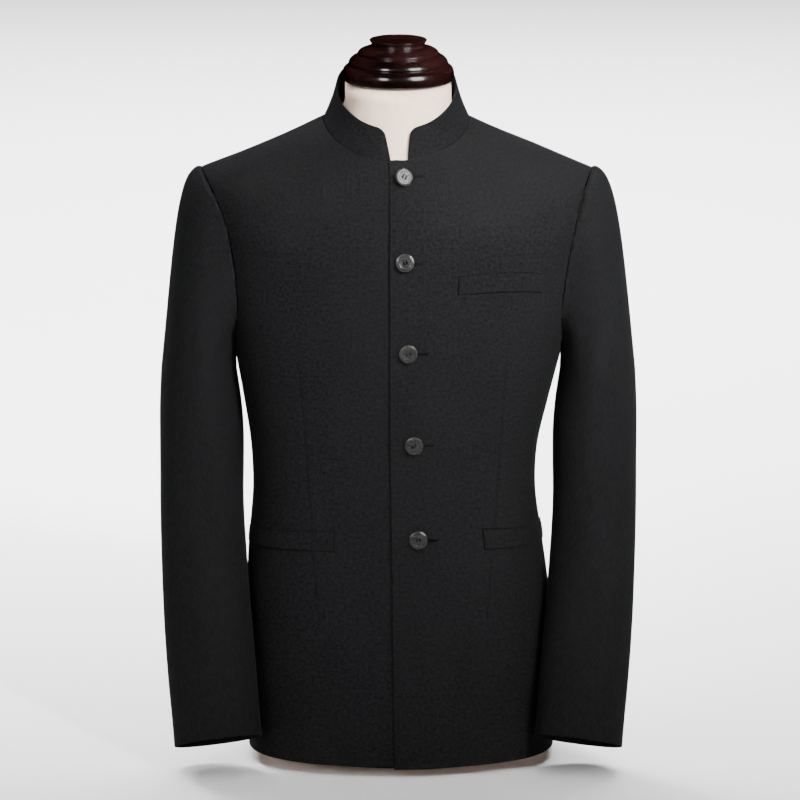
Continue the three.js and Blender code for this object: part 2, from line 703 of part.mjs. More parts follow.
// The collar's outer and inner grids, from the left front's end round the back of the neck to the right's.
function collarGrids() {
  const corner = COLLAR_CORNER / COLLAR_TOP.half;
  const startBase = Math.asin(COLLAR_END_LEFT.base / JACKET.neck.half);
  const endBase = 2 * Math.PI + Math.asin(COLLAR_END_RIGHT.base / JACKET.neck.half);
  const startTop = Math.asin(COLLAR_END_LEFT.top / COLLAR_TOP.half);
  const endTop = 2 * Math.PI + Math.asin(COLLAR_END_RIGHT.top / COLLAR_TOP.half);
  const span = endTop - startTop;
  const ends = [0, 0.25, 0.55].map((part) => part * corner);
  const middle = Array.from({ length: COLLAR_STEPS + 1 }, (_, i) => mix(corner, span - corner, i / COLLAR_STEPS));
  const offsets = [...ends, ...middle, ...ends.map((offset) => span - offset).reverse()];
  const outer = [];
  const inner = [];
  for (let j = 0; j <= COLLAR_ROWS; j += 1) {
    outer.push([]);
    inner.push([]);
    for (const offset of offsets) {
      const baseAngle = mix(startBase, endBase, offset / span);
      const topAngle = startTop + offset;
      const at = (rise) => collarPoint(baseAngle, topAngle, rise);
      const fromEnd = Math.min(offset, span - offset) * COLLAR_TOP.half;
      const short = COLLAR_CORNER - Math.min(fromEnd, COLLAR_CORNER);
      const cut = COLLAR_CORNER - Math.sqrt(COLLAR_CORNER ** 2 - short ** 2);
      const rise = (j / COLLAR_ROWS) * (1 - cut / at(1).distanceTo(at(0)));
      const up = at(rise + 0.01).sub(at(rise - 0.01));
      const round = new THREE.Vector3(Math.cos(topAngle), Math.sin(topAngle), 0);
      outer[j].push(at(rise));
      inner[j].push(at(rise).addScaledVector(round.cross(up).normalize(), -COLLAR_WALL));
    }
  }
  return { outer, inner };
}

const collar = collarGrids();
addMesh("collar", wallOf(collar.outer, collar.inner), clothBlack);

const edgeHeight = ({ inner, outer, bow }, share) => mix(inner, outer, share) + bow * 4 * share * (1 - share);

// A welt that lies on the body between two angles, made from the body's own points moved out.
function weltGeometry({ from, to, shape }, columns) {
  const rows = 2;
  const grid = (raise) =>
    Array.from({ length: rows + 1 }, (_, j) =>
      Array.from({ length: columns + 1 }, (_, i) => {
        const share = i / columns;
        const theta = mix(from, to, share);
        const v = rowAtHeight(theta, mix(edgeHeight(shape.foot, share), edgeHeight(shape.top, share), j / rows));
        return jacketPoint(theta, v).addScaledVector(jacketNormal(theta, v), raise);
      }),
    );
  return wallOf(grid(WELT_GAP + WELT_WALL), grid(WELT_GAP));
}

const chestRow = rowAtHeight(0.5, CHEST_WELT.top.inner);
const chestCorners = {
  from: angleAtX(CHEST_WELT.inner, chestRow, true),
  to: angleAtX(CHEST_WELT.outer, chestRow, true),
  shape: CHEST_WELT,
};
addMesh("chest_welt", weltGeometry(chestCorners, 8), clothBlack);

// The angle reached by going a length round the body from a start, at row v.
function angleAfter(start, hand, v, length) {
  let theta = start;
  let left = length;
  let point = jacketPoint(theta, v);
  while (left > 0) {
    theta += hand * 0.2 * DEGREE;
    const next = jacketPoint(theta, v);
    left -= next.distanceTo(point);
    point = next;
  }
  return theta;
}

for (const [side, hand] of [
  ["left", 1],
  ["right", -1],
]) {
  const row = rowAtHeight(hand, LOWER_WELT.top.inner);
  const from = angleAtX(LOWER_WELT_INNER[side], row, true);
  const corners = { from, to: angleAfter(from, hand, row, LOWER_WELT.length), shape: LOWER_WELT };
  addMesh(`pocket_welt_${side}`, weltGeometry(corners, 9), clothBlack);
}

// A sewn button: a short shank, a disc with a raised rim and a dished middle.
function buttonGeometry() {
  const { radius, thickness, shankRadius, shank, rim, dish } = BUTTON;
  const profile = [
    [0, 0],
    [shankRadius, 0],
    [shankRadius, shank],
    [radius * 0.86, shank],
    [radius, shank + thickness * 0.45],
    [radius - rim * 0.35, shank + thickness],
    [radius - rim, shank + thickness - dish],
    [0, shank + thickness - dish],
  ].map(([r, height]) => new THREE.Vector2(r, height));
  return new THREE.LatheGeometry(profile, 16);
}

BUTTONS.forEach(({ x, z }, i) => {
  const row = rowAtHeight(0.05, z);
  const theta = angleAtX(x, row, true);
  const normal = jacketNormal(theta, row);
  const button = addMesh(`button_${i + 1}`, buttonGeometry(), buttonGrey);
  button.position.copy(jacketPoint(theta, row)).addScaledVector(normal, upperLift(x) + SEAM_GAP);
  button.quaternion.setFromUnitVectors(new THREE.Vector3(0, 1, 0), normal);
});

// Angles round the form, one for each column: closer together at the neck and at the shoulder's end.
function formAngles() {
  const xs = [];
  for (let i = 0; i < FORM_NECK_STEPS; i += 1) xs.push(FORM.neck.half * Math.sin((QUARTER * i) / FORM_NECK_STEPS));
  for (let i = 0; i < FORM_RIDGE_STEPS; i += 1) {
    xs.push(mix(FORM.neck.half, FORM.topHalf, 1 - (1 - i / FORM_RIDGE_STEPS) ** 1.6));
  }
  const front = xs.map((x) => Math.asin((x / FORM.topHalf) ** (FORM.frontPower / 2)));
  const back = xs.map((x) => Math.PI - Math.asin((x / FORM.topHalf) ** (FORM.backPower / 2)));
  const left = [...front, QUARTER, ...back.reverse()];
  return [...left, ...left.slice(1, -1).reverse().map((theta) => -theta)];
}

// The dress form: a closed torso that runs up into its neck.
function formGeometry() {
  const angles = formAngles();
  const count = angles.length;
  const rows = [];
  for (let j = 0; j < FORM_ROWS; j += 1) rows.push((ARCH_START * j) / FORM_ROWS);
  for (let j = 0; j <= FORM_ARCH_ROWS; j += 1) rows.push(mix(ARCH_START, 1, j / FORM_ARCH_ROWS));
  const grid = rows.map((v) => angles.map((theta) => bodyPoint(FORM, theta, v)));
  const top = grid[grid.length - 1];
  const half = count / 2;
  for (let i = FORM_NECK_STEPS; i < half / 2; i += 1) {
    // along the ridge the back's last point is the front's own
    top[half - i] = top[i];
    top[half + i] = top[count - i];
  }
  const faces = [];
  for (let j = 0; j + 1 < grid.length; j += 1) {
    angles.forEach((_, i) => {
      const next = (i + 1) % count;
      faces.push([grid[j][i], grid[j][next], grid[j + 1][next]], [grid[j][i], grid[j + 1][next], grid[j + 1][i]]);
    });
  }
  const ring = [
    ...top.slice(0, FORM_NECK_STEPS + 1),
    ...top.slice(half - FORM_NECK_STEPS + 1, half + FORM_NECK_STEPS),
    ...top.slice(count - FORM_NECK_STEPS),
  ];
  const neck = [ring];
  for (const share of [0.3, 0.65, 1]) {
    neck.push(
      ring.map((base) => {
        const away = Math.atan2(base.x, FORM.neck.y - base.y);
        const x = NECK_RADIUS * Math.sin(away);
        const y = -NECK_RADIUS * Math.cos(away);
        const inward = Math.sin(QUARTER * share);
        return new THREE.Vector3(mix(base.x, x, inward), mix(base.y, y, inward), mix(base.z, NECK_FOOT, share));
      }),
    );
  }
  neck.push(neck[neck.length - 1].map((point) => point.clone().setZ(NECK_TOP)));
  for (let j = 0; j + 1 < neck.length; j += 1) {
    ring.forEach((_, i) => {
      const next = (i + 1) % ring.length;
      faces.push([neck[j][i], neck[j][next], neck[j + 1][next], neck[j + 1][i]]);
    });
  }
  const floor = grid[0];
  const lid = neck[neck.length - 1];
  for (let i = 1; i + 1 < floor.length; i += 1) faces.push([floor[0], floor[i + 1], floor[i]]);
  for (let i = 1; i + 1 < lid.length; i += 1) faces.push([lid[0], lid[i], lid[i + 1]]);
  return solidOf(faces);
}

addMesh("form_torso", formGeometry(), linen);

const capGeometry = new THREE.LatheGeometry(
  CAP_PROFILE.map(({ r, z }) => new THREE.Vector2(r, z)),
  28,
);
addMesh("neck_cap", capGeometry, darkWood).rotation.x = QUARTER;

const baseOutline = new THREE.Shape().absellipse(0, 0, BASE.halfX, BASE.halfY, 0, 2 * Math.PI, false, 0);
const baseGeometry = new THREE.ExtrudeGeometry(baseOutline, {
  depth: FORM_BOTTOM - SEAM_GAP,
  bevelEnabled: false,
  curveSegments: 28,
});
addMesh("form_base", baseGeometry, darkWood).position.y = BASE.y;

// The origin goes to the middle of the part's footprint.
const box = new THREE.Box3().setFromObject(jacket);
jacket.position.set(-(box.min.x + box.max.x) / 2, -(box.min.y + box.max.y) / 2, -box.min.z);

export default jacket;
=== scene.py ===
"""A single-breasted tunic jacket with a stand collar, on a limbless dress form with a turned neck cap.

The jacket is one smooth body surface that is cut into panels, and sleeves swept through rings. Every
surface is worked out in millimetres as whole numpy arrays and then put into the frame of the CAD model,
in metres. An angle round the body is 0 at the centre front and grows towards the wearer's left; heights
are measured from the floor."""

import math

import bmesh
import bpy
import numpy as np
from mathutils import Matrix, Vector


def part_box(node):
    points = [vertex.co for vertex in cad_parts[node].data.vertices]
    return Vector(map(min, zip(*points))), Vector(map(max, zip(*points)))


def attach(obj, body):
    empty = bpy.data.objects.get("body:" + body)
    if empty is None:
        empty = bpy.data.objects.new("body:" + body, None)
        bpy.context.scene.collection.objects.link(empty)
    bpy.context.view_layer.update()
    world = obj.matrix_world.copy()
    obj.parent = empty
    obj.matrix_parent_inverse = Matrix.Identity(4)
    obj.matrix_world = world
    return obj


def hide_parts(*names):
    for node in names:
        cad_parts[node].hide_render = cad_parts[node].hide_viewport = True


bl_info = {
    "name": "Tunic jacket on a dress form",
    "version": (1, 0, 0),
    "blender": (4, 5, 0),
    "location": "3D View > Sidebar > Tunic",
    "description": "Builds the cut cloth, buttons, dress form and stage of a stand-collar tunic jacket",
    "category": "Object",
}

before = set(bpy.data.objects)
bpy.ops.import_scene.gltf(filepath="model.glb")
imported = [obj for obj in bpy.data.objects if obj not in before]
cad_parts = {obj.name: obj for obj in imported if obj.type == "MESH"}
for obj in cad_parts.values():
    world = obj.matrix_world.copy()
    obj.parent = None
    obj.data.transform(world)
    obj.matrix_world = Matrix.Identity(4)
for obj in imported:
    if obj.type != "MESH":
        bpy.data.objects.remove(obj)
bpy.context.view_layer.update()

MM = 0.001
DEGREE = math.pi / 180
QUARTER = math.pi / 2
TURN = 2 * math.pi
HANDS = ((1, "left"), (-1, "right"))

# The cap's axis is where the millimetre tables have x and y zero.
CAP_LOW, CAP_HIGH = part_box("neck_cap")
SHIFT = np.array([(CAP_LOW[0] + CAP_HIGH[0]) / 2, (CAP_LOW[1] + CAP_HIGH[1]) / 2, 0]) / MM


def table(names, rows):
    """The columns of a table as arrays, by name."""
    return dict(zip(names.split(), np.array(rows, float).T))


# Level sections of the worn jacket: half width, depth to the front and to the back, sideways lean
BODY_ROWS = table(
    "z half front back lean",
    [
        (8, 167, 112, 121, 3), (60, 167, 112, 123, 2), (120, 166, 111, 121, 1),
        (190, 165, 108, 113, -1), (240, 160.5, 106, 104, -3), (300, 154, 105, 98, -4.3),
        (350, 156, 107, 100, -4), (400, 165.5, 112, 106, -2), (453, 177, 118, 111, 0),
        (505, 187.5, 120, 114, 1.5), (560, 196.5, 118, 114, 3), (610, 206.5, 117, 113, 2.5),
        (655, 222, 116, 112, -1.5), (760, 222, 116, 112, -1.5),
    ],
)
# The top line of the shoulders, carried on over the neck opening
RIDGE = table(
    "x y z",
    [
        (0, 15, 740), (25, 15, 735.5), (45, 15, 726), (66, 15, 714), (79.5, 15, 707.5),
        (105, 13, 696), (139, 10, 682), (176, 7, 667), (211, 5, 654), (222, 5, 650),
    ],
)
# Where each column of cloth starts to bend over towards the ridge, and how roundly
ARCH = table(
    "x front_base front_bend back_base back_bend",
    [
        (0, 553, 1.15, 612, 1), (45, 556, 1.24, 606, 1), (66, 557, 1.33, 592, 1.05),
        (80, 558, 1.37, 590, 1.1), (110, 562, 1.36, 585, 1.15), (150, 570, 1.25, 580, 1.15),
        (211, 586, 1.1, 578, 1.1), (222, 584, 1.1, 576, 1.1),
    ],
)
ARMHOLES = {
    "front": table(
        "z x",
        [
            (460, 176.2), (470, 174.8), (485, 174.6), (505, 175.4), (530, 177), (555, 179.8),
            (580, 183.8), (600, 188.5), (620, 194.5), (635, 200.5), (645, 205.5), (654, 211),
        ],
    ),
    "back": table(
        "z x",
        [
            (470, 174), (485, 177), (505, 179.5), (530, 182.5), (555, 186), (580, 190),
            (600, 194.5), (620, 199.5), (635, 203.5), (645, 207.5), (654, 211),
        ],
    ),
}
TOP_HALF, SHOULDER_TIP, HEM = 222, 211, 12
# The share of a column's rows below its arch, and that of its last row, just short of the top line
ARCH_START, LAST_ROW = 0.72, 0.9997
FRONT_SEAM = 80 * DEGREE
BACK_SEAM = 108 * DEGREE
CENTRE_BACK = math.pi - 0.00005
# Half of the slit between two panels, as an angle: 0.15 mm at a radius of 178 mm
SEAM_SLIT = 0.15 / 178
# Steps of a panel's rows: to the armhole's foot, to the arch and to the top line
FOOT_STEP, ARCH_STEP, TOP_STEP = 12, 15, 22
# Steps of its columns round the neck and along the shoulder
NECK_STEPS, RIDGE_STEPS = {"front": 8, "back": 5}, 5
CLOTH, COLLAR_CLOTH = 2, 2.4
# The distance given to cloth far from any pressed line, in millimetres, so that it gets no painted shade
FAR = 30.0

# Front closing: x of the upper front's edge at the hem and the neck, and of the under front's edge
EDGE_HEM, EDGE_TOP, UNDER_EDGE, CLOSING_TOP = -4, -9.2, 24, 679
LAP_FULL, LAP_END, LAP_GAP = 27, 70, 0.9

# Sleeve rings: centre, half sizes, and how far the ring's front and inner side are raised
SLEEVE_RINGS = table(
    "z x y half_x half_y front_rise inner_rise",
    [
        (34, 196, -84, 47.8, 44.5, 15, 6.5), (100, 202, -71, 47.4, 47, 12, 5),
        (173, 208, -50, 47.2, 50, 9, 3), (234, 211.8, -29, 47, 54, 6, 2),
        (280, 213.9, -16, 46.4, 57.5, 3, 1), (335, 213.7, -6, 46.3, 61, 1, 0),
        (390, 214.9, -1, 44.5, 64.5, 0, 0), (432, 216.8, -1, 40.9, 68, 0, 0),
    ],
)
CAP_FOOT_Z, CUFF_Z = 432, 34
CAP_STEPS, SLEEVE_STEPS = 6, 17
# Steps round the armhole, and by how much of one the two parts of a sleeve overlap
RING_STEPS, SLEEVE_OVERLAP = 24, 0.012

# The stand collar's top edge seen from above, and its height along it
COLLAR_TOP = {"half": 65, "y": 10, "front": -66.5, "back": 66}
COLLAR_HEIGHTS = table(
    "y z",
    [(-66.5, 708.5), (-52, 715), (-36, 722.5), (-10, 733), (10, 744), (30, 755), (66, 768)],
)
COLLAR_ENDS = {"left": (12, 15.5), "right": (-5.8, -14)}
COLLAR_CORNER = 8
# How far the collar's edge is inside the neck seam, and how far up from it runs the line at the seam, where
# shade is painted
COLLAR_TUCK, COLLAR_LINE = 1.8, 1.6
# How far each back goes past the centre seam, the distance in which that fades, and the radius there
BACK_OVERLAP, BACK_FADE, BACK_RADIUS = 0.25, 2, 180

BUTTON_PLACES = [(5, 660.8), (7.3, 572.7), (10.6, 474.3), (17, 371.3), (21.4, 265.3)]
# How each button is turned, how far it leans left and up, and how long its stem of thread is
BUTTON_TURNS = (-0.42, 0.12, 0.2, 0.75, 0.1)
BUTTON_LEANS = ((0.33, -0.16), (0.02, 0.05), (0.06, 0.03), (-0.04, 0.05), (0.03, 0.02))
BUTTON_STEMS = (2.3, 0, 0, 0, 0)
# Height of a button's face and of the rim over it, and how far its holes are from its middle lines
BUTTON_HIGH, RIM_HIGH, HOLE_PLACE = 4.1, 0.3, 1.8
# Darts pressed into the fronts: x at the upper and the lower end
DARTS = {1: (119, 104), -1: (-110, -93.5)}
DART_TOP, DART_FOOT = 499, 276

# Welts: heights of the upper and lower edge at the inner and outer ends, and how far each edge bows up
CHEST_WELT = {"top": (557, 553.8, 4.2), "foot": (536.7, 533.4, 2.5)}
CHEST_WELT_ENDS = (65, 156.6)
LOWER_WELT = {"top": (274, 261, 0), "foot": (250.5, 243.5, 0)}
LOWER_WELT_INNER = {1: 90.6, -1: -68.5}
LOWER_WELT_LENGTH = 134
# How far a welt stands out of the cloth and goes into it
WELT_OUT, WELT_IN = 1.45, 0.5

# The neck cap's profile from its underside out and up to its dished top
CAP_PROFILE = table(
    "r z",
    [
        (0, 747.6), (53, 747.6), (57.5, 750), (60, 754.4), (60.4, 759.4), (58.8, 764.3), (55.6, 767),
        (53.6, 767.8), (54, 769.6), (52.6, 773.2), (49, 776.6), (45, 778.2), (43.4, 779),
        (43.8, 780.8), (41.6, 783.6), (37, 785.8), (31.6, 787), (28.8, 788.4), (29.2, 790.8),
        (30.6, 793), (31.2, 794.4), (30.4, 795.2), (28.6, 795.4), (24, 794.2), (0, 793.2),
    ],
)
NECK_TOP, NECK_RADIUS, NECK_FOOT = 747.3, 57.4, 733
FORM_BOTTOM, FORM_SHOULDER = 20, 204
# The low foot: its oval, and its profile as shares of that and heights
FOOT_HALF_X, FOOT_HALF_Y, FOOT_Y = 128, 78, 5
FOOT_PROFILE = table(
    "share z",
    [
        (0, 0), (0.9, 0), (0.975, 0.4), (0.992, 1.4), (1, 3), (1, 10), (1, 16.2), (0.99, 18.4),
        (0.97, 19.4), (0.88, 19.7), (0, 19.7),
    ],
)


def mix(low, high, share):
    """The value a share of the way from low to high."""
    return low + (high - low) * share


def smooth_step(low, high, value):
    """0 below low, 1 above high and 3t^2 - 2t^3 between."""
    t = np.clip((value - low) / (high - low), 0, 1)
    return t * t * (3 - 2 * t)


def smooth_curve(stops, values, place):
    """A smooth curve through values at stops: a cubic between each two, whose slope at a stop is that of the
    line between the stop's neighbours. Level outside."""
    slope = np.empty_like(values)
    slope[1:-1] = (values[2:] - values[:-2]) / (stops[2:] - stops[:-2])
    slope[0] = (values[1] - values[0]) / (stops[1] - stops[0])
    slope[-1] = (values[-1] - values[-2]) / (stops[-1] - stops[-2])
    place = np.clip(place, stops[0], stops[-1])
    i = np.clip(np.searchsorted(stops, place, side="right") - 1, 0, len(stops) - 2)
    step = stops[i + 1] - stops[i]
    t = (place - stops[i]) / step
    start = values[i] * (1 + 2 * t) * (1 - t) ** 2 + slope[i] * step * t * (1 - t) ** 2
    end = values[i + 1] * (3 - 2 * t) * t**2 - slope[i + 1] * step * (1 - t) * t**2
    return start + end


def read(rows, name, place):
    """A column of a table at a place in its first column."""
    return smooth_curve(next(iter(rows.values())), rows[name], place)


def halved(low, high, is_past, steps=40):
    """The place between low and high, for whole arrays, at which is_past turns true, by halving."""
    near, far = np.array(low, float), np.array(high, float)
    for _ in range(steps):
        middle = (near + far) / 2
        past = is_past(middle)
        near, far = np.where(past, near, middle), np.where(past, middle, far)
    return (near + far) / 2


def unit(vectors):
    """The same directions, one long."""
    return vectors / np.maximum(np.linalg.norm(vectors, axis=-1, keepdims=True), 1e-12)


def run_along(points, axis):
    """Distance travelled over a grid's points along one of its sides, from its first row or column."""
    steps = np.linalg.norm(np.diff(points, axis=axis), axis=-1)
    return np.insert(np.cumsum(steps, axis=axis), 0, 0, axis=axis)


def crossed(roll_rows, roll_columns):
    """How far through its roll each point of a grid is: the smaller of its row's and its column's."""
    return np.minimum(roll_rows[:, None], roll_columns[None, :])


# The body surface


def power_of(front):
    """The power of a section's oval, in front of the ridge and behind it."""
    return np.where(front, 2.35, 2.8)


def angle_across(share, front):
    """The angle at which a section is at a share of its half width: asin(share^(power / 2)), and half a turn
    less that behind the ridge."""
    turn = np.sign(share) * np.arcsin(np.abs(share) ** (power_of(front) / 2))
    return np.where(front, turn, math.pi - turn)


def body_cut(rows, ridge, neck, top_half, hem):
    """A body's tables with, for the columns that end on the neck opening, the bend at which each meets it.

    A column's angle to the neck is asin(x / neck half width). The bend is where the arch's y is the
    opening's."""
    cut = {"rows": rows, "ridge": ridge, "neck": neck, "top_half": top_half, "hem": hem, "bends": {}}
    turn = np.linspace(0, QUARTER, 361)
    for front in (True, False):
        column = column_of(cut, angle_across(neck["half"] * np.sin(turn) / top_half, front))
        edge = mix(neck["y"], neck["front" if front else "back"], np.cos(turn))
        sign = -1 if front else 1
        met = halved(
            np.zeros_like(turn),
            np.full_like(turn, QUARTER),
            lambda bend: sign * (arch_point(cut, column, bend)[..., 1] - edge) <= 0,
            30,
        )
        cut["bends"][front] = (turn, met)
    return cut


def column_of(cut, theta):
    """The column of cloth at each angle: across = sin^(2 / power), along = cos^(2 / power), and its arch."""
    front = np.abs(theta) < QUARTER
    power = power_of(front)
    across = np.sign(np.sin(theta)) * np.abs(np.sin(theta)) ** (2 / power)
    away = np.minimum(np.abs(cut["top_half"] * across), cut["top_half"])
    return {
        "front": front,
        "across": across,
        "along": np.abs(np.cos(theta)) ** (2 / power),
        "away": away,
        "ridge_y": read(cut["ridge"], "y", away),
        "ridge_z": read(cut["ridge"], "z", away),
        "base": np.where(front, read(ARCH, "front_base", away), read(ARCH, "back_base", away)),
        "bend": np.where(front, read(ARCH, "front_bend", away), read(ARCH, "back_bend", away)),
    }


def section_point(cut, column, z):
    """x = half width * across + lean, y = depth * along, at a height below the arch."""
    rows = cut["rows"]
    x = read(rows, "half", z) * column["across"] + read(rows, "lean", z)
    y = np.where(column["front"], -read(rows, "front", z), read(rows, "back", z)) * column["along"]
    return np.stack(np.broadcast_arrays(x, y, z), -1)


def arch_point(cut, column, bend):
    """z rises from the base to the ridge by sin(bend), and y goes over to the ridge as cos(bend)^roundness
    falls."""
    point = section_point(cut, column, mix(column["base"], column["ridge_z"], np.sin(bend)))
    point[..., 1] = mix(column["ridge_y"], point[..., 1], np.maximum(np.cos(bend), 0) ** column["bend"])
    return point


def body_point(cut, theta, v):
    """The body at an angle, from the hem (v 0) up the level sections and round the arch to the top line
    (v 1)."""
    column = column_of(cut, theta)
    low = section_point(cut, column, mix(cut["hem"], column["base"], np.minimum(v / ARCH_START, 1)))
    half = cut["neck"]["half"]
    turn = np.arcsin(np.clip(column["away"] / half, 0, 1))
    front, back = (np.interp(turn, *cut["bends"][side]) for side in (True, False))
    full = np.where(column["away"] >= half, QUARTER, np.where(column["front"], front, back))
    high = arch_point(cut, column, full * np.clip((v - ARCH_START) / (1 - ARCH_START), 0, 1))
    return np.where(np.asarray(v <= ARCH_START)[..., None], low, high)


def body_at_height(cut, theta, z):
    """The body at an angle and a height: the arch's bend there is asin of the share of its rise."""
    column = column_of(cut, theta)
    share = np.clip((z - column["base"]) / (column["ridge_z"] - column["base"]), 0, 1)
    return arch_point(cut, column, np.arcsin(share)) if np.any(share > 0) else section_point(cut, column, z)


def facing(place, a, b, small_a, small_b):
    """The outward direction of a surface: its step in a crossed with its step in b, each taken both ways."""
    along_a = place(a + small_a, b) - place(a - small_a, b)
    along_b = place(a, b + small_b) - place(a, b - small_b)
    return unit(np.cross(along_a, along_b))


NECK = {"half": 79.5, "y": 15, "front": -79, "back": 66}
JACKET = body_cut(BODY_ROWS, RIDGE, NECK, TOP_HALF, HEM)
# The form is about 8 mm inside the jacket, and nearer at the shoulders, which carry it
FORM = body_cut(
    {
        **BODY_ROWS,
        "half": np.minimum(BODY_ROWS["half"] - 8, FORM_SHOULDER),
        "front": BODY_ROWS["front"] - 8.5,
        "back": BODY_ROWS["back"] - 8.5,
    },
    {**RIDGE, "z": RIDGE["z"] - np.where(RIDGE["x"] < 120, 4.6, 2.7)},
    {"half": 67, "y": 14, "front": -69, "back": 56},
    FORM_SHOULDER,
    FORM_BOTTOM,
)


def jacket_facing(theta, v):
    """The jacket's outward direction. On the ridge, where front and back meet, it has no y."""
    small = 0.004
    low = np.clip(v, small, 1 - small)
    out = facing(lambda a, b: body_point(JACKET, a, b), theta, low, small, small)
    on_ridge = (v > 1 - small) & (column_of(JACKET, theta)["away"] > NECK["half"] - small)
    out[..., 1] = np.where(on_ridge, 0, out[..., 1])
    return unit(out)


def height_facing(theta, z):
    """The jacket's outward direction at an angle and a height."""
    return facing(lambda a, b: body_at_height(JACKET, a, b), theta, z, 0.003, 0.5)


def angle_at(x, z):
    """The angle at which the jacket's front stands at a given x, at a height."""
    across = (x - read(BODY_ROWS, "lean", z)) / read(BODY_ROWS, "half", z)
    return angle_across(across, True)


def armhole_foot(theta):
    """Height of the armhole's foot: a parabola round 91 degrees, where it is lowest, at 453 mm."""
    return 453 + 0.058 * ((np.abs(theta) - 91 * DEGREE) / DEGREE) ** 2


def row_of(theta, z):
    """The share of rows at which a column reaches a height below the arch."""
    base = column_of(JACKET, theta)["base"]
    return ARCH_START * (z - HEM) / (base - HEM)


def upper_lift(x):
    """How far the upper front is raised over the under front: fully up to LAP_FULL, easing out to LAP_END."""
    return (CLOTH + LAP_GAP) * (1 - smooth_step(LAP_FULL, LAP_END, x))


def drape(points):
    """Soft unevenness of hanging cloth in millimetres: a few long waves over x and z, none at the closing."""
    x, y, z = points[..., 0], points[..., 1], points[..., 2]
    waves = (
        0.42 * np.sin(x / 31 + z / 74 + 0.6)
        + 0.3 * np.sin(x / 19 - z / 96 + y / 60)
        + 0.34 * np.sin(z / 58 + y / 41 + 2.1)
    )
    return waves * smooth_step(40, 95, np.abs(x)) * smooth_step(HEM, HEM + 60, z)


# Cutting the body into panels


def front_edge(hand, z):
    """x of a front's edge at a height: the upper front's leans, the under front's is upright and hidden."""
    return mix(EDGE_HEM, EDGE_TOP, np.clip(z / 400, 0, 1)) if hand > 0 else np.full_like(z, UNDER_EDGE)


def panel_edges(hand, side):
    """Rows and edge angles of a front or back panel at its whole steps. The outer edge is the seam below the
    armhole's foot, and above it the angle at which the body passes the armhole's line."""
    front = side == "front"
    seam = hand * (FRONT_SEAM if front else BACK_SEAM)
    foot = float(row_of(np.float64(seam), armhole_foot(seam)))
    steps = np.arange(TOP_STEP + 1)
    v = np.interp(steps, [0, FOOT_STEP, ARCH_STEP, TOP_STEP], [0, foot, ARCH_START, 1])
    start, from_angle = np.full_like(v, hand * CENTRE_BACK), np.full_like(v, hand * math.pi)
    if front:
        edge_x = front_edge(hand, body_point(JACKET, np.full_like(v, seam), v)[..., 2])
        ends = np.full_like(v, -QUARTER), np.full_like(v, QUARTER)
        start = from_angle = halved(*ends, lambda angle: body_point(JACKET, angle, v)[..., 0] > edge_x)

    def past(angle):
        point = body_point(JACKET, angle, v)
        from_middle = hand * (point[..., 0] - read(BODY_ROWS, "lean", point[..., 2]))
        return from_middle > read(ARMHOLES[side], "x", point[..., 2])

    armhole = halved(from_angle, np.full_like(v, hand * QUARTER), past)
    return v, start, np.where(steps > FOOT_STEP, armhole, seam)


def stations(first, last, per_step, roll):
    """Places along one side of a grid, per_step to each whole step, with six close together in each rolled
    edge. Gives the places and how far through the roll each one is, 0 at the edge and 1 past it."""
    plain = np.linspace(first, last, int(round((last - first) * per_step)) + 1)
    inside = plain[(plain > first + roll * 1.3) & (plain < last - roll * 1.3)]
    near = roll * np.array([0, 0.06, 0.2, 0.45, 0.72, 1])
    places = np.concatenate([first + near, inside, last - near[::-1]])
    return places, np.clip(np.minimum(places - first, last - places) / roll, 0, 1)


def panel(hand, side):
    """Angles and rows of a panel's fine grid, and its rolls. Columns go evenly round at the hem and end on
    the top line at x = half * sin round the neck and evenly along the shoulder."""
    front = side == "front"
    neck_steps = NECK_STEPS[side]
    count = neck_steps + RIDGE_STEPS
    v_steps, start, outer = panel_edges(hand, side)
    u, roll_u = stations(0, count, 12, 0.055)
    w, roll_w = stations(0, TOP_STEP, 9, 0.035)
    start_x = float(front_edge(hand, np.float64(CLOSING_TOP))) if front else 0
    first = math.asin(np.clip(start_x * hand / NECK["half"], -1, 1))
    on_neck = NECK["half"] * np.sin(mix(first, QUARTER, np.minimum(u / neck_steps, 1)))
    on_ridge = mix(NECK["half"], SHOULDER_TIP, (u - neck_steps) / RIDGE_STEPS)
    top = hand * angle_across(np.where(u < neck_steps, on_neck, on_ridge) / TOP_HALF, front)
    share = (top - top[0]) / (top[-1] - top[0])
    start[-1], outer[-1] = top[0], top[-1]
    steps = np.arange(TOP_STEP + 1, dtype=float)
    v = np.interp(w, steps, v_steps)[:, None]
    low = smooth_curve(steps, start, w)[:, None]
    # Above the armhole's foot the edge follows its own smooth line
    above = smooth_curve(steps[FOOT_STEP:], outer[FOOT_STEP:], w)
    slit = hand * (SEAM_SLIT if front else -SEAM_SLIT)
    high = np.where(w > FOOT_STEP, above, outer[0])[:, None] - slit
    theta = mix(low, high, mix(u / count, share, smooth_step(0.4, 1, v)))
    v = np.broadcast_to(np.minimum(v, LAST_ROW), theta.shape)
    return theta, v, w, crossed(roll_w, roll_u)


def dart_line(points, hand):
    """Signed distance in millimetres from a front's dart, a straight line from its upper to its lower end,
    and how much of it there is at each height."""
    z = points[..., 2]
    upper, lower = DARTS[hand]
    line = mix(lower, upper, (z - DART_FOOT) / (DART_TOP - DART_FOOT))
    there = smooth_step(DART_TOP, DART_TOP - 60, z) * smooth_step(DART_FOOT - 150, DART_FOOT - 60, z)
    return (points[..., 0] - line) * 1.12, there


